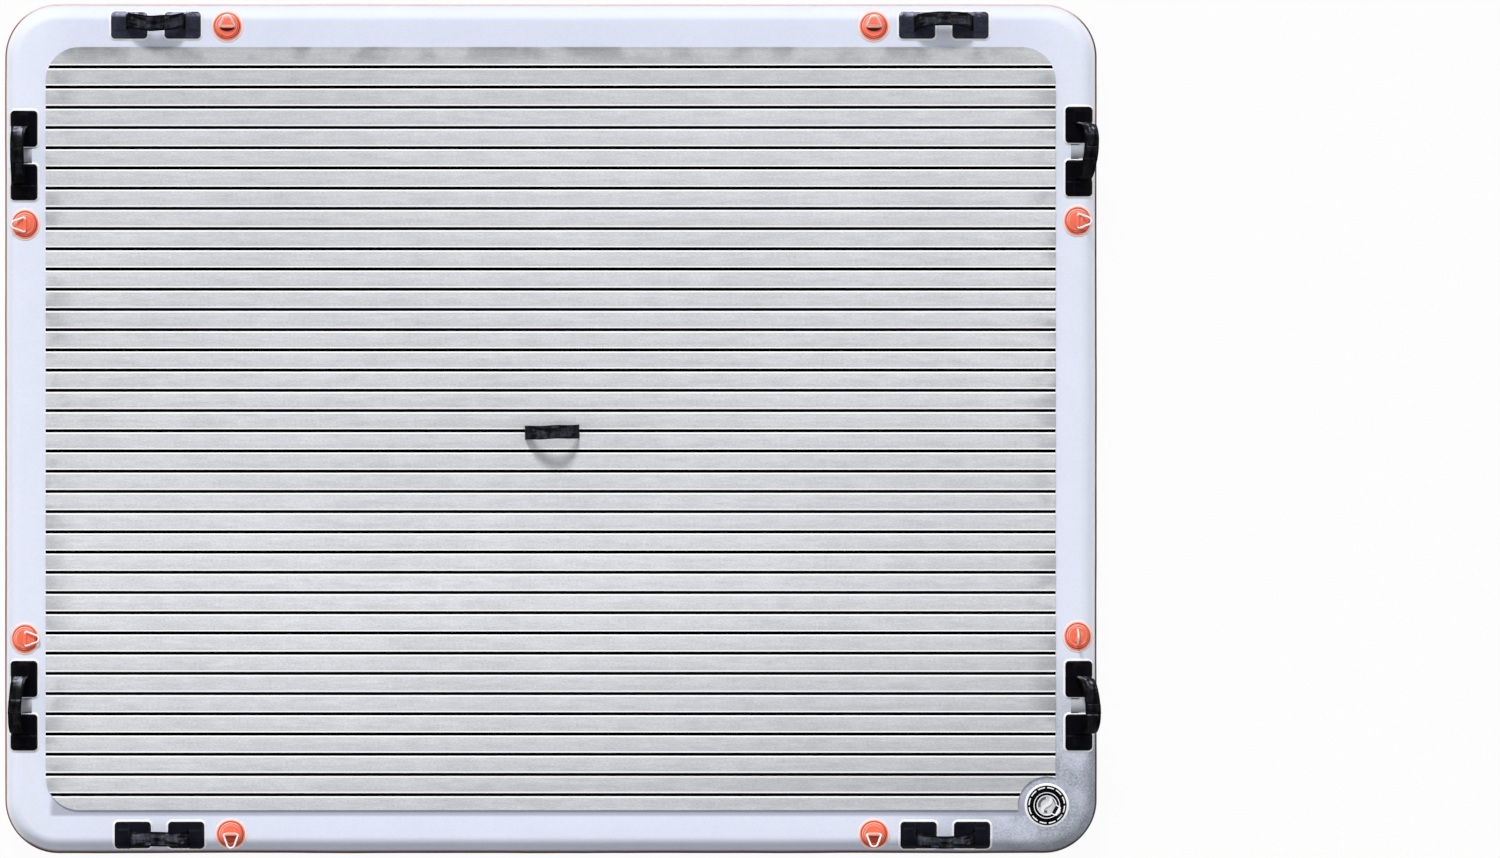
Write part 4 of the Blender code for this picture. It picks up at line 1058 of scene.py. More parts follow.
def buildHandlePatch(name, edge, mount, shape, side, stands):
    middle = handle["spacing"] / 2
    center = handle["across"][edge]
    low = (middle - handle["length"] / 2, center - handle["width"] / 2)
    high = (middle + handle["length"] / 2, center + handle["width"] / 2)
    wide = halo["width"]
    margin = roundedSheet((low[0] - wide, low[1] - wide), (high[0] + wide, high[1] + wide),
                          handle["corner"] + wide)
    reach = handle["width"] / 2
    run, step = handle["haloSteps"]
    sliceAlong(margin, 1, [center + place for place in stepsBetween(-reach - step, reach + step, step)])
    sliceAlong(margin, 0, stepsBetween(low[0], high[0], run))
    mirrorForm(margin, side)
    buildPaintedSheet(f"{name}Halo", mount, margin, "haloLine")
    base = roundedSheet(low, high, handle["corner"])
    insetSteps(base, beadSteps())
    cover = roundedSheet((handle["mouth"], low[1]), high, handle["corner"], roundLow=False)
    insetSteps(cover, ((0.0005, 0.0004), (0.0031, 0), (0.0006, 0.0005), (0.0012, 0), (0.0006, -0.0005)))
    tuck = handle["strapWidth"] / 2
    tailEnd = handle["span"] / 2 + handle["tail"]
    run, step = handle["patchSteps"]
    sheets = []
    for bm, plies in ((base, 1), (cover, 2)):
        sliceAlong(bm, 1, [center + place for place in stepsBetween(-reach, reach, step)])
        sliceAlong(bm, 0, stepsBetween(low[0], high[0], run))
        for vert in bm.verts:
            vert.co.z += handle["skinGap"] + plies * handle["ply"]
            if bm is cover:
                across = abs(vert.co.y - center - tailPlace(shape, side))
                bump = 1 - easedStep(across, tuck, tuck + handle["pocketSide"])
                bump *= 1 - easedStep(vert.co.x, tailEnd, tailEnd + handle["pocketEnd"])
                seams = sum(height * math.exp(-((vert.co.x - tailEnd + place) / half) ** 2)
                            for place, height, half in handle["pocketSeams"])
                lift = handle["strapThickness"] + handle["pocketPlay"] + handle["seamShare"][edge] * seams
                vert.co.z += bump * lift
        mirrorForm(bm, side)
        drape(bm, mount)
        sheets.append(bm)
    for bm, part, nodes in ((sheets[0], "base", stands), (sheets[1], "pocket", ())):
        piece = publish(bm, f"{name}{part.capitalize()}", ["blackPatch"], nodes)
        giveWall(piece, handle["ply"], offset=-1)
        roundEdges(piece, 0.0002, 1, 60)


def strapPoint(edge, mount, shape, along, across, lift):
    # a point of a handle's strap: along it, across it and above its middle surface
    first, middle, last, width, lumps = shape[:5]
    half = handle["span"] / 2
    reach = max(-1, min(1, along / half))
    share = 1 - reach ** 2
    arch = (1 - abs(reach) ** handle["roundness"]) ** (1 / handle["roundness"])
    ends = first + (last - first) * easedStep(reach, -1, 1)
    place = ends + (middle - (first + last) / 2) * share ** 0.5
    leave = easedStep(share, 0, 0.16)
    place = tailPlace(shape, along) * (1 - leave) + place * leave
    lean = math.acos(min(1, width / handle["strapWidth"])) * share ** 0.4
    # each strap has its own lumps, picked by its places
    flat, wide = handle["lumpScale"]
    wave = noise.noise(Vector((along * flat, across * wide, first * 900 + middle * 500)))
    sway = noise.noise(Vector((along * handle["swayScale"], 2.7, first * 900 + last * 700)))
    y = handle["across"][edge] + place + across * math.cos(lean) + lumps * share ** 0.5 * sway
    angle = math.asin(max(0, min(dock["sineLimit"], y / dock["sideBulge"])))
    drop = dock["sideHalfHeight"] * (math.cos(angle) - 1)
    level = handle["skinGap"] + handle["ply"] + handle["strapGap"] + handle["strapThickness"] / 2
    curl = -handle["curl"] * (2 * across / handle["strapWidth"]) ** 2 * share
    z = level + drop * (1 - arch) + arch * (handle["rise"] - handle["crownDrop"])
    z += curl - across * math.sin(lean)
    z += lumps * share ** 0.5 * wave + lift
    return mount @ Vector((along, y, z))


def stitchLine(bm, edge, mount, shape, places, lift):
    # short thread beads laid along the given (along, across) places
    radius = handle["threadRadius"]
    for first, second in zip(places[::2], places[1::2]):
        start = strapPoint(edge, mount, shape, *first, lift)
        end = strapPoint(edge, mount, shape, *second, lift)
        run = end - start
        turn = run.to_track_quat("Z", "Y").to_matrix().to_4x4()
        size = Matrix.Diagonal((radius, radius, run.length / 2, 1))
        place = Matrix.Translation((start + end) / 2) @ turn @ size
        bmesh.ops.create_icosphere(bm, subdivisions=1, radius=1, matrix=place)


def buildHandleStrap(name, edge, mount, shape, stands):
    reach = handle["span"] / 2 + handle["tail"]
    bm = ribbonForm(2 * reach, handle["strapWidth"], handle["lengthSteps"], handle["widthSteps"])
    half = handle["span"] / 2
    for vert in bm.verts:      # closer steps where the strap rises steeply
        along = vert.co.x
        if abs(along) < half:
            along = math.copysign(half * (1 - (1 - abs(along) / half) ** 1.5), along)
        vert.co = strapPoint(edge, mount, shape, along, vert.co.y, 0)
    strap = publish(bm, f"{name}Strap", ["webbing"], stands)
    giveWall(strap, handle["strapThickness"], offset=0)
    roundEdges(strap, handle["strapEdge"])

    start, end, hem = shape[5:8]
    bm = ribbonForm(end - start, handle["strapWidth"] + handle["sleeveOverhang"], 16, handle["widthSteps"])
    lift = handle["strapThickness"] * handle["sleeveLift"]
    for vert in bm.verts:
        vert.co = strapPoint(edge, mount, shape, vert.co.x + (start + end) / 2, vert.co.y, lift)
    sleeve = publish(bm, f"{name}Sleeve", ["webbing"])
    giveWall(sleeve, handle["sleevePly"], offset=0)
    roundEdges(sleeve, handle["sleeveEdge"])

    if hem is not None:
        short, shift = handle["hemShort"], handle["hemShift"]
        bm = ribbonForm(handle["hemWidth"], handle["strapWidth"] - short, 3, handle["widthSteps"])
        for vert in bm.verts:
            vert.co = strapPoint(edge, mount, shape, vert.co.x + hem, vert.co.y - shift,
                                 lift * handle["hemLift"])
        giveWall(publish(bm, f"{name}Hem", ["hem"]), handle["hemPly"])

    threads = bmesh.new()
    seam = handle["strapWidth"] / 2 - handle["seamInset"]
    inset, step = handle["stitchInset"], handle["stitch"]
    lengthways = range(int((end - start - 2 * inset) / step))
    crossways = range(int(2 * seam / step))
    rows = [[(start + inset + step * number, across) for number in lengthways] for across in (-seam, seam)]
    rows += [[(along, -seam + step * number) for number in crossways]
             for along in (start + inset, end - inset)]
    for row in rows:
        stitchLine(threads, edge, mount, shape, row, lift + handle["stitchLift"])
    publish(threads, f"{name}Stitching", ["thread"])


def buildHandles():
    for (edge, side), shape in handleShapes.items():
        node = f"handle_{edge}_{side}"
        name = f"handle{edge.capitalize()}{side.capitalize()}"
        mount = edgeMount(edge, middleAlong(edge, f"{node}_webbing"))
        buildHandlePatch(f"{name}PatchOne", edge, mount, shape, -1, [f"{node}_patch_1"])
        buildHandlePatch(f"{name}PatchTwo", edge, mount, shape, 1, [f"{node}_patch_2"])
        buildHandleStrap(name, edge, mount, shape, [f"{node}_webbing"])
        # painted shadow: a grey sheet between the side handles' patches, where the strap's shadow falls
        if edge in ("left", "right"):
            gap = handle["spacing"] / 2 - handle["length"] / 2 - halo["width"] / 2
            half = handle["strapWidth"] / 2
            center = handle["across"][edge]
            strapShadow = roundedSheet((-gap, center - half), (gap, center + half), 0.0005)
            sliceAlong(strapShadow, 1, [center + place for place in stepsBetween(-half, half, 0.0030)])
            buildPaintedSheet(f"{name}Tape", mount, strapShadow, "strapShadow")


buildHandles()
print("grab handles made:", len(handleShapes))


# D-rings with their patches and keepers
ring = {
    "across": {edge: -0.004 - pull for edge, pull in edgePull.items()},
    "patchRadius": 0.036, "discRadius": 0.030, "ridgeRadius": 0.0235,
    "roundness": {"back": 0.99, "front": 0.98, "left": 0.935, "right": 0.935},
    "shadowWidth": {"back": 0.035, "front": 0.0252}, "shadowDepth": {"back": -0.0095, "front": 0.017},
    "ply": 0.0012, "discPly": 0.0015, "skinGap": 0.0003,
    "wire": 0.00225, "innerWidth": 0.031, "depth": 0.0345, "bend": 0.003, "tip": 0.0095,
    "barHeight": 0.00825, "wireSides": 14, "bendSteps": 9, "tipSteps": 16,
    "keeperLength": 0.0285, "keeperReach": 0.012, "keeperThickness": 0.0016, "keeperPlay": 0.0004,
    "keeperSteps": 8, "footStart": 0.004, "footTaper": 38, "humpTaper": 0.06,
    "steps": 64, "haloShare": 0.95,      # the painted halo beside a ring patch is a little narrower
    "shadowLift": 0.0024,       # the painted shadow sheet's height above the disc
    # the keeper's cuts across, how round its hump and feet are, its edge, the margin of its hump's painted
    # highlight
    "keeperCuts": (-0.0095, -0.007, -0.005, 0.005, 0.007, 0.0095), "humpRound": 0.97,
    "footRound": 0.0016, "keeperEdge": 0.0004, "humpMargin": 0.0008,
}
ringRestDegrees = {
    ("back", "left"): 38, ("back", "right"): 42, ("front", "left"): 6, ("front", "right"): 28,
    ("left", "back"): 5, ("left", "front"): 174, ("right", "back"): 4, ("right", "front"): 88,
}


def buildRingPatch(name, edge, mount, stands):
    low = ring["skinGap"]
    base = low + ring["ply"]
    disc = base + ring["discPly"]
    outer, inner, ridge = ring["patchRadius"], ring["discRadius"], ring["ridgeRadius"]
    profile = [
        (0, disc + 0.0001), (ridge - 0.0042, disc), (ridge - 0.0024, disc - 0.0003),
        (ridge - 0.0014, disc + 0.0006),
        (ridge, disc + 0.0010), (ridge + 0.0013, disc + 0.0005), (ridge + 0.0022, disc - 0.0004),
        (ridge + 0.0038, disc), (inner - 0.0010, disc + 0.0001), (inner - 0.0003, disc - 0.0003),
        (inner, base + 0.0003), (inner + 0.0003, base - 0.0005), (inner + 0.0012, base - 0.0005),
        (inner + 0.0019, base), (outer - 0.0030, base + 0.0003), (outer - 0.0014, base + 0.0003),
        (outer - 0.0005, base - 0.0001), (outer, base - 0.0006), (outer, low), (0, low),
    ]
    rim = halo["width"] * ring["haloShare"]
    margin = turned([(0, 0), (0.020, 0), (0.030, 0), (outer, 0), (outer + rim, 0)], ring["steps"])
    facingUp(margin)
    patch = turned(profile, ring["steps"])
    turn = mount.to_3x3()
    layer = patch.loops.layers.uv.new("fromMiddle")
    for face in patch.faces:
        for loop in face.loops:
            loop[layer].uv = (turn @ loop.vert.co).xy
    for bm in (margin, patch):
        bmesh.ops.scale(bm, verts=bm.verts, vec=(1, ring["roundness"][edge], 1))
        moveForm(bm, (0, ring["across"][edge], 0))
    buildPaintedSheet(f"{name}Halo", mount, margin, "pinkHaloLine")
    drape(patch, mount)
    publish(patch, f"{name}Patch", ["orangePatch"], stands)
    # painted shadow sheet beside the back and front keepers
    if edge in ring["shadowDepth"]:
        buildKeeperShadow(f"{name}Slot", edge, mount, disc + ring["shadowLift"])


def buildKeeperShadow(name, edge, mount, height):
    # painted shadow: a dark half-moon sheet on the keeper's shaded side, where its shadow falls
    depth = ring["shadowDepth"][edge]
    radius = ring["shadowWidth"][edge] / 2
    bm = bmesh.new()
    bmesh.ops.create_circle(bm, cap_ends=True, segments=48, radius=radius)
    bmesh.ops.scale(bm, verts=bm.verts, vec=(1, abs(depth) / radius, 1))
    side = math.copysign(1, depth)
    bmesh.ops.bisect_plane(bm, geom=everything(bm), plane_co=(0, 0, 0), plane_no=(0, -side, 0),
                           clear_outer=True)
    start = ring["across"][edge] + side * (ring["wire"] + ring["keeperPlay"])
    moveForm(bm, (0, start, height))
    sliceAlong(bm, 1, [start + side * step for step in stepsBetween(0, abs(depth), 0.002)])
    drape(bm, mount)
    publish(bm, name, ["keeperShadow" if edge == "back" else "frontShade"])


def sweepStraight(bm, edges, move):
    grown = bmesh.ops.extrude_edge_only(bm, edges=edges)["geom"]
    bmesh.ops.translate(bm, verts=onlyKind(grown, bmesh.types.BMVert), vec=move)
    return onlyKind(grown, bmesh.types.BMEdge)


def sweepTurn(bm, edges, center, angle, steps):
    last = bmesh.ops.spin(bm, geom=edges, cent=center, axis=(0, 0, 1), angle=angle, steps=steps,
                          use_merge=False, use_duplicate=False)["geom_last"]
    return onlyKind(last, bmesh.types.BMEdge)


def buildKeeper(name, edge, mount, stands):
    foot = ring["skinGap"] + ring["ply"] + ring["discPly"] + 0.0003
    inner = ring["wire"] + ring["keeperPlay"]
    top = ring["barHeight"] + inner
    half = ring["keeperLength"] / 2
    section = [(-ring["keeperReach"], foot), (-inner, foot), (-inner, top), (inner, top), (inner, foot),
               (ring["keeperReach"], foot)]
    bm = bmesh.new()
    row = [bm.verts.new((-half, y, z)) for y, z in section]
    edges = [bm.edges.new(pair) for pair in zip(row, row[1:])]
    for _ in range(ring["keeperSteps"]):
        edges = sweepStraight(bm, edges, (2 * half / ring["keeperSteps"], 0, 0))
    # the hump's two upper lines turn round, the two lines at its feet a little
    lines = [e for e in bm.edges if abs(e.verts[0].co.y - e.verts[1].co.y) < 1e-6
             and abs(e.verts[0].co.z - e.verts[1].co.z) < 1e-6]
    bevelEdges(bm, [e for e in lines if e.verts[0].co.z > top - 1e-5], inner * ring["humpRound"], 6)
    lines = [e for e in bm.edges if all(abs(abs(vert.co.y) - inner) < 1e-5 and vert.co.z < foot + 1e-5
                                        for vert in e.verts)]
    bevelEdges(bm, lines, ring["footRound"], 3)
    bmesh.ops.recalc_face_normals(bm, faces=bm.faces)
    facingUp(bm)
    sliceAlong(bm, 1, ring["keeperCuts"])
    for vert in bm.verts:      # its feet taper, so that the ring swings past them
        vert.co.x *= 1 - ring["footTaper"] * max(0, abs(vert.co.y) - ring["footStart"])
    moveForm(bm, (0, ring["across"][edge], 0))
    for vert in bm.verts:      # the strap is a little narrower over its hump
        vert.co.x *= 1 - ring["humpTaper"] * max(0, (vert.co.z - foot) / (top - foot))
    for face in bm.faces:
        away = abs(face.calc_center_median().y - ring["across"][edge])
        onHump = away < inner + ring["humpMargin"]
        face.material_index = 0 if onHump else 1
    drape(bm, mount)
    # painted highlight: the hump of the back and front keepers is a paler orange
    hump = "keeperHighlight" if edge in ring["shadowDepth"] else "orangePatch"
    piece = publish(bm, f"{name}Keeper", [hump, "orangePatch"], stands)
    giveWall(piece, ring["keeperThickness"])
    roundEdges(piece, ring["keeperEdge"])


def wireForm():
    # the ring lying flat: its bar on X, two leaning legs and a round tip towards +Y
    bend, tip = ring["bend"], ring["tip"]
    corner = ring["innerWidth"] / 2 + ring["wire"] - bend
    tipPlace = ring["depth"] - tip
    # how far the legs lean, so that they meet both rounds without a kink
    lean = math.atan2(tipPlace - bend, -corner)
    lean -= math.acos((bend - tip) / math.hypot(corner, tipPlace - bend))
    leg = Vector((tip * math.cos(lean) - corner - bend * math.cos(lean),
                  tipPlace + tip * math.sin(lean) - bend - bend * math.sin(lean), 0))
    bm = bmesh.new()
    place = Matrix.Translation((-corner, 0, 0)) @ Matrix.Rotation(math.pi / 2, 4, "Y")
    bmesh.ops.create_circle(bm, segments=ring["wireSides"], radius=ring["wire"], matrix=place)
    edges = sweepStraight(bm, bm.edges[:], (2 * corner, 0, 0))
    edges = sweepTurn(bm, edges, (corner, bend, 0), math.pi / 2 + lean, ring["bendSteps"])
    edges = sweepStraight(bm, edges, leg)
    edges = sweepTurn(bm, edges, (0, tipPlace, 0), math.pi - 2 * lean, ring["tipSteps"])
    edges = sweepStraight(bm, edges, (leg.x, -leg.y, 0))
    sweepTurn(bm, edges, (-corner, bend, 0), math.pi / 2 + lean, ring["bendSteps"])
    bmesh.ops.remove_doubles(bm, verts=bm.verts, dist=0.00001)
    bmesh.ops.recalc_face_normals(bm, faces=bm.faces)
    return bm


def buildRings():
    for (edge, side), degrees in ringRestDegrees.items():
        node = f"dring_{edge}_{side}"
        name = f"ring{edge.capitalize()}{side.capitalize()}"
        mount = edgeMount(edge, middleAlong(edge, f"{node}_patch"))
        buildRingPatch(name, edge, mount, [f"{node}_patch"])
        buildKeeper(name, edge, mount, [f"{node}_keeper"])
        wire = wireForm()
        bar = Matrix.Translation((0, ring["across"][edge], ring["barHeight"]))
        swing = bar @ Matrix.Rotation(math.radians(degrees), 4, "X")
        bmesh.ops.transform(wire, matrix=mount @ swing, verts=wire.verts)
        publish(wire, f"{name}Wire", ["steel"], [f"{node}_ring"], body=f"ring_{edge}_{side}")


buildRings()
print("D-rings made:", len(ringRestDegrees))


# inflation valve: the body in the chamber's top skin and the cap on it
body = {
    "flange": 0.0497, "flangeEdge": 0.0016, "slope": 0.041, "step": 0.037, "stepHeight": 0.0032,
    "collar": 0.034, "collarHeight": 0.005, "recess": 0.0301, "seat": 0.0022,
    "barrel": 0.021, "depth": 0.034, "bore": 0.018, "lip": 0.0145, "lipDepth": 0.017, "lipHeight": 0.003,
    "web": 0.011, "webHeight": 0.003, "guide": 0.0028, "holePlace": 0.0105, "holeRadius": 0.0045,
    "blockWidth": 0.012, "blockLength": 0.005,
    "dashRadius": 0.0444, "dashWidth": 0.0029, "dashes": 12, "dashShare": 0.76, "trim": 0.0320,
    "halo": 0.0560,
}
cap = {
    "radius": 0.02975, "seat": 0.0025, "top": 0.0055, "pale": 0.0254, "dish": 0.0224, "dishDepth": 0.0023,
    "skirt": 0.0176, "skirtWall": 0.0017, "skirtDepth": 0.0025,
    "strapTop": 0.0069, "strapBottom": 0.0053, "strapWidth": 0.010, "hinge": 0.0371, "hingeGap": 0.00015,
    "tab": (0.0215, 0.0346, 0.0132), "slot": (0.0200, 0.0286, 0.0104),      # near end, far end, half width
    "gripWidth": 0.0086, "gripBow": 0.0046, "gripReach": 0.0222,
    # dark sheets painted as shadows in the dish on both sides of the grip: radius, width, start and sweep in
    # degrees
    "hollowShadows": ((0.0188, 0.0062, 126, 96), (0.0160, 0.0068, 266, 36), (0.0212, 0.0026, 34, 52)),
}


def toValve(bm):
    place = Matrix.Translation((valve["x"], valve["y"], dock["height"]))
    bmesh.ops.transform(bm, matrix=place @ Matrix.Rotation(valve["turn"], 4, "Z"), verts=bm.verts)
    return bm


def buildValveBody():
    b = body
    gap = band["gap"]
    profile = [
        (b["recess"], b["collarHeight"] - 0.0003), (b["recess"] + 0.0003, b["collarHeight"]),
        (b["collar"] - 0.0006, b["collarHeight"]), (b["collar"] - 0.0001, b["collarHeight"] - 0.0002),
        (b["collar"], b["collarHeight"] - 0.0006), (b["collar"], b["stepHeight"] + 0.0003),
        (b["collar"] + 0.0004, b["stepHeight"]), (b["step"], b["stepHeight"]),
        (b["step"] + 0.0008, b["stepHeight"] - 0.0002), (b["slope"], 0.0024),
        (b["slope"] + 0.0014, b["flangeEdge"] + 0.0006), (b["flange"] - 0.0016, b["flangeEdge"] + 0.0004),
        (b["flange"] - 0.0004, b["flangeEdge"]), (b["flange"], b["flangeEdge"] - 0.0006),
        (b["flange"], gap), (b["barrel"], gap), (b["barrel"], -b["depth"]), (b["bore"], -b["depth"]),
        (b["bore"], -b["lipDepth"] - b["lipHeight"]), (b["lip"], -b["lipDepth"] - b["lipHeight"]),
        (b["lip"], -b["lipDepth"]), (b["bore"], -b["lipDepth"]), (b["bore"], -b["web"] - b["webHeight"]),
        (b["guide"], -b["web"] - b["webHeight"]), (b["guide"], -b["web"]), (b["bore"], -b["web"]),
        (b["bore"], b["seat"]), (b["recess"], b["seat"]),
    ]
    form = turned(profile, valve["steps"], closed=True)
    # four air holes through the web
    cutters = []
    for number in range(4):
        angle = math.pi / 2 * number
        center = (b["holePlace"] * math.cos(angle), b["holePlace"] * math.sin(angle))
        cutters.append((drum(b["holeRadius"], -0.018, -0.008, 24, center), "DIFFERENCE"))
    near = cap["hinge"] + cap["hingeGap"]
    half = b["blockWidth"] / 2
    block = boxForm((near, -half, b["flangeEdge"]), (near + b["blockLength"], half, cap["strapTop"]))
    bevelEdges(block, block.edges[:], 0.0008, 2)
    form = toValve(applied(form, cutters + [(block, "UNION")]))
    publish(form, "valveBody", ["blackPlastic"], ["valve_body"])


def arcPlate(radius, width, low, high, start, sweep, steps):
    # a curved bar with its middle on a circle
    bm = boxForm((radius - width / 2, 0, low), (radius + width / 2, 0.00001, high))
    near = [face for face in bm.faces if face.normal.y > 0.9]
    bmesh.ops.delete(bm, geom=near, context="FACES")
    rim = [edge for edge in bm.edges if edge.is_boundary]
    last = bmesh.ops.spin(bm, geom=rim, cent=(0, 0, 0), axis=(0, 0, 1), angle=sweep, steps=steps,
                          use_merge=False, use_duplicate=False)["geom_last"]
    bmesh.ops.contextual_create(bm, geom=onlyKind(last, bmesh.types.BMEdge))
    bmesh.ops.remove_doubles(bm, verts=bm.verts, dist=0.00002)
    bmesh.ops.recalc_face_normals(bm, faces=bm.faces)
    bmesh.ops.rotate(bm, verts=bm.verts, cent=(0, 0, 0), matrix=Matrix.Rotation(start, 3, "Z"))
    return bm


def joinForms(forms):
    whole = bmesh.new()
    for form in forms:
        mesh = meshOf(form, "joining")
        whole.from_mesh(mesh)
        bpy.data.meshes.remove(mesh)
    return whole


def buildValveMarks():
    # plain dashes round the flange and a thin pale ring on the collar
    turn = 2 * math.pi / body["dashes"]
    sweep = turn * body["dashShare"]
    dashes = [arcPlate(body["dashRadius"], body["dashWidth"], body["flangeEdge"] + 0.0002,
                       body["flangeEdge"] + 0.0009, turn * (number + 0.14), sweep, 8)
              for number in range(body["dashes"])]
    marks = publish(toValve(joinForms(dashes)), "valveDashes", ["markPlastic"])
    roundEdges(marks, 0.0002, 1)
    middle, low, high = body["trim"], body["stepHeight"] + 0.0003, body["collarHeight"] + 0.0002
    profile = [(middle - 0.0010, low), (middle - 0.0010, high - 0.0003), (middle - 0.0006, high),
               (middle + 0.0008, high), (middle + 0.0012, high - 0.0004), (middle + 0.0012, low)]
    trim = turned(profile, valve["steps"], closed=True)
    publish(toValve(trim), "valveTrimRing", ["markPlastic"])
    # painted highlight: the pale halo round the valve
    margin = turned([(body["barrel"] + 0.0005, 0), (body["flange"], 0), (body["halo"], 0)], valve["steps"])
    facingUp(margin)
    moveForm(margin, (0, 0, halo["lift"]))
    giveWall(publish(toValve(margin), "valveHalo", ["haloLine"]), halo["ply"])


def buildValveCap():
    c = cap
    dish = c["top"] - c["dishDepth"]
    profile = [
        (0, dish), (c["dish"] - 0.0010, dish), (c["dish"], dish + 0.0003),
        (c["dish"] + 0.0006, c["top"] - 0.0002), (c["dish"] + 0.0012, c["top"]), (c["pale"], c["top"]),
        (c["pale"] + 0.0002, c["top"] - 0.0003),
        (c["radius"] - 0.0008, c["top"] - 0.0003), (c["radius"] - 0.0002, c["top"] - 0.0005),
        (c["radius"], c["top"] - 0.0009), (c["radius"], c["seat"]), (c["skirt"], c["seat"]),
        (c["skirt"], c["seat"] - c["skirtDepth"]), (c["skirt"] - c["skirtWall"], c["seat"] - c["skirtDepth"]),
        (c["skirt"] - c["skirtWall"], c["seat"]), (0, c["seat"]),
    ]
    shell = turned(profile, valve["steps"])
    for face in shell.faces:
        face.material_index = 1 if face.calc_center_median().xy.length > c["pale"] else 0
    strap = boxForm((c["radius"] - 0.0032, -c["strapWidth"] / 2, c["strapBottom"]),
                    (c["hinge"] - c["hingeGap"], c["strapWidth"] / 2, c["strapTop"] - 0.0002))
    bevelEdges(strap, strap.edges[:], 0.0004, 2)
    publish(toValve(joinForms([shell, strap])), "valveCap", ["palePlastic", "blackPlastic"],
            ["valve_cap"], body="valve_cap")
    # the strap's wide end on the cap, pale with a black slot
    for name, (near, far, half), top, corner, finishName in (
            ("valveCapTab", c["tab"], c["strapTop"], 0.0052, "markPlastic"),
            ("valveCapSlot", c["slot"], c["strapTop"] + 0.0002, 0.0012, "blackPlastic")):
        plate = boxForm((near, -half, c["strapBottom"]), (far, half, top))
        uprights = [edge for edge in uprightEdges(plate, 0.001) if edge.verts[0].co.x > near + 0.001]
        bevelEdges(plate, uprights, corner, 6)
        roundEdges(publish(toValve(plate), name, [finishName], body="valve_cap"), 0.0003)
    # painted shadows: dark sheets beside the grip
    hollowShadows = [arcPlate(radius, width, dish - 0.0004, dish + 0.0003, math.radians(start),
                        math.radians(sweep), 14)
               for radius, width, start, sweep in c["hollowShadows"]]
    publish(toValve(joinForms(hollowShadows)), "valveCapHollowShadows", ["hollowShadow"], body="valve_cap")
    # finger grip: a bar that bends a little to each side
    half, reach = c["gripWidth"] / 2, c["gripReach"]
    grip = boxForm((-half, -reach, dish - 0.0004), (half, reach, c["strapTop"] - 0.0001))
    bevelEdges(grip, uprightEdges(grip, 0.001), half * 0.9, 5)
    sliceAlong(grip, 1, stepsBetween(-reach, reach, 0.0015))
    for vert in grip.verts:
        vert.co.x += c["gripBow"] * math.sin(vert.co.y / reach * math.pi)
    piece = publish(toValve(grip), "valveCapGrip", ["palePlastic"], body="valve_cap")
    roundEdges(piece, 0.0006)


spring = {"radius": 0.004, "wire": 0.00045, "wireSides": 8, "turns": 4, "turnSteps": 20, "press": 0.003}


def buildValveSpring():
    # coil under the plunger's plate
    low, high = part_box("valve_spring")
    wire, steps = spring["wire"], spring["turns"] * spring["turnSteps"]
    rise = high.z - low.z - 2 * wire
    bm = bmesh.new()
    place = Matrix.Translation((spring["radius"], 0, wire)) @ Matrix.Rotation(math.pi / 2, 4, "X")
    bmesh.ops.create_circle(bm, segments=spring["wireSides"], radius=wire, matrix=place)
    bmesh.ops.spin(bm, geom=bm.edges[:], cent=(0, 0, 0), axis=(0, 0, 1), dvec=(0, 0, rise / steps),
                   angle=2 * math.pi * spring["turns"], steps=steps, use_merge=False, use_duplicate=False)
    ends = [edge for edge in bm.edges if edge.is_boundary]
    bmesh.ops.holes_fill(bm, edges=ends, sides=spring["wireSides"])
    bmesh.ops.recalc_face_normals(bm, faces=bm.faces)
    toValve(bm)
    moveForm(bm, (0, 0, low.z - dock["height"]))
    piece = publish(bm, "valveSpring", ["steel"], ["valve_spring"])
    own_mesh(piece)


buildValveBody()
buildValveMarks()
buildValveCap()
buildValveSpring()
for node, finishName in (("drop_stitch_core", "coreCloth"), ("seam_tape", "seamTape"),
                         ("valve_nut", "blackPlastic"), ("valve_plunger", "palePlastic")):
    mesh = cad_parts[node].data
    mesh.materials.clear()
    mesh.materials.append(finishes[finishName])
print("valve made")


stage = {
    "floorSize": 60, "floorDrop": 0.0005, "floorWhite": 0.95,
    "sun": 2.2, "sunAngle": 12, "sunFrom": (-0.16, 0.85, 0.72),
    "sky": 0.55, "skySpread": 1.3, "skyLeast": 0.05, "skyColor": (0.98, 0.99, 1.0, 1),
    "cameraPlace": (0.5001, -0.001, 40), "lens": 381.3, "sensor": 36, "farEnd": 200,
}


def whiteWhereSeen(tree, surface, plain, white, share):
    # what the camera sees is near white, while other light stays plain
    seen = addNode(tree, "LightPath").outputs["Is Camera Ray"]
    mixed = addNode(tree, "MixShader", {0: product(tree, seen, share), 1: plain, 2: white})
    send(tree, surface, mixed.outputs[0])


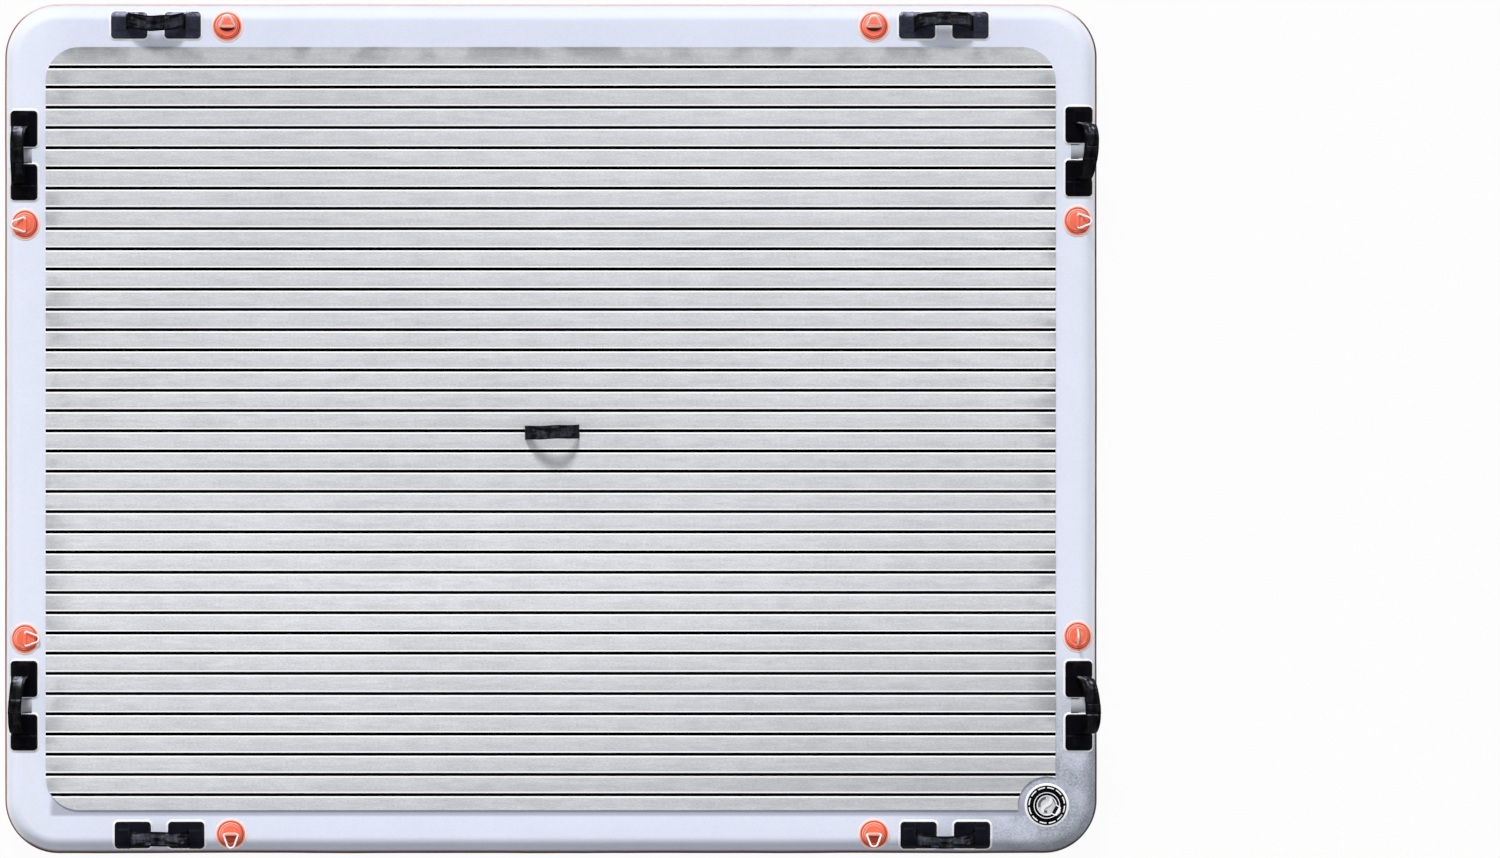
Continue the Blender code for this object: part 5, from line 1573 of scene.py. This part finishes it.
def buildFloor():
    bm = bmesh.new()
    bmesh.ops.create_grid(bm, x_segments=2, y_segments=2, size=stage["floorSize"] / 2)
    moveForm(bm, (0, 0, -stage["floorDrop"]))
    floor = newObject("floor", meshOf(bm, "floor"))
    material, tree, shader = newMaterial("paleFloor", Roughness=0.9, Specular_IOR_Level=0.0)
    grain = noiseAt(tree, coordinates(tree), 30.0, 3.0)
    send(tree, shader["Base Color"], mixColor(tree, grain, linear(214, 214, 214), linear(220, 220, 220)))
    white = addNode(tree, "Emission", {"Strength": 1.0}).outputs[0]
    whiteWhereSeen(tree, tree.nodes["Material Output"].inputs["Surface"],
                   tree.nodes["Principled BSDF"].outputs[0], white, stage["floorWhite"])
    floor.data.materials.append(material)


def buildLight():
    sun = bpy.data.lights.new("sun", "SUN")
    sun.energy = stage["sun"]
    sun.angle = math.radians(stage["sunAngle"])
    newObject("sun", sun).rotation_euler = Vector(stage["sunFrom"]).to_track_quat("Z", "Y").to_euler()
    world = bpy.data.worlds.new("studio")
    world.use_nodes = True
    tree = world.node_tree
    light = tree.nodes["Background"]
    light.inputs["Color"].default_value = stage["skyColor"]
    # brighter from the two ends than from the front and back
    x, y, _ = split(tree, addNode(tree, "NewGeometry").outputs["Incoming"])
    spread = calc(tree, "SUBTRACT", product(tree, x, x), product(tree, y, y))
    share = total(tree, product(tree, spread, stage["skySpread"]), 1.0)
    send(tree, light.inputs["Strength"],
         product(tree, calc(tree, "MAXIMUM", share, stage["skyLeast"]), stage["sky"]))
    white = addNode(tree, "Background", {"Strength": 1.0}).outputs[0]
    whiteWhereSeen(tree, tree.nodes["World Output"].inputs["Surface"], light.outputs[0], white, 1.0)
    bpy.context.scene.world = world


def buildCamera():
    data = bpy.data.cameras.new("camera")
    data.lens = stage["lens"]
    data.sensor_width = stage["sensor"]
    data.clip_end = stage["farEnd"]
    camera = newObject("camera", data)
    camera.location = stage["cameraPlace"]
    bpy.context.scene.camera = camera


buildFloor()
buildLight()
buildCamera()
bpy.context.scene.view_settings.view_transform = "Standard"
print("floor, light and camera set")
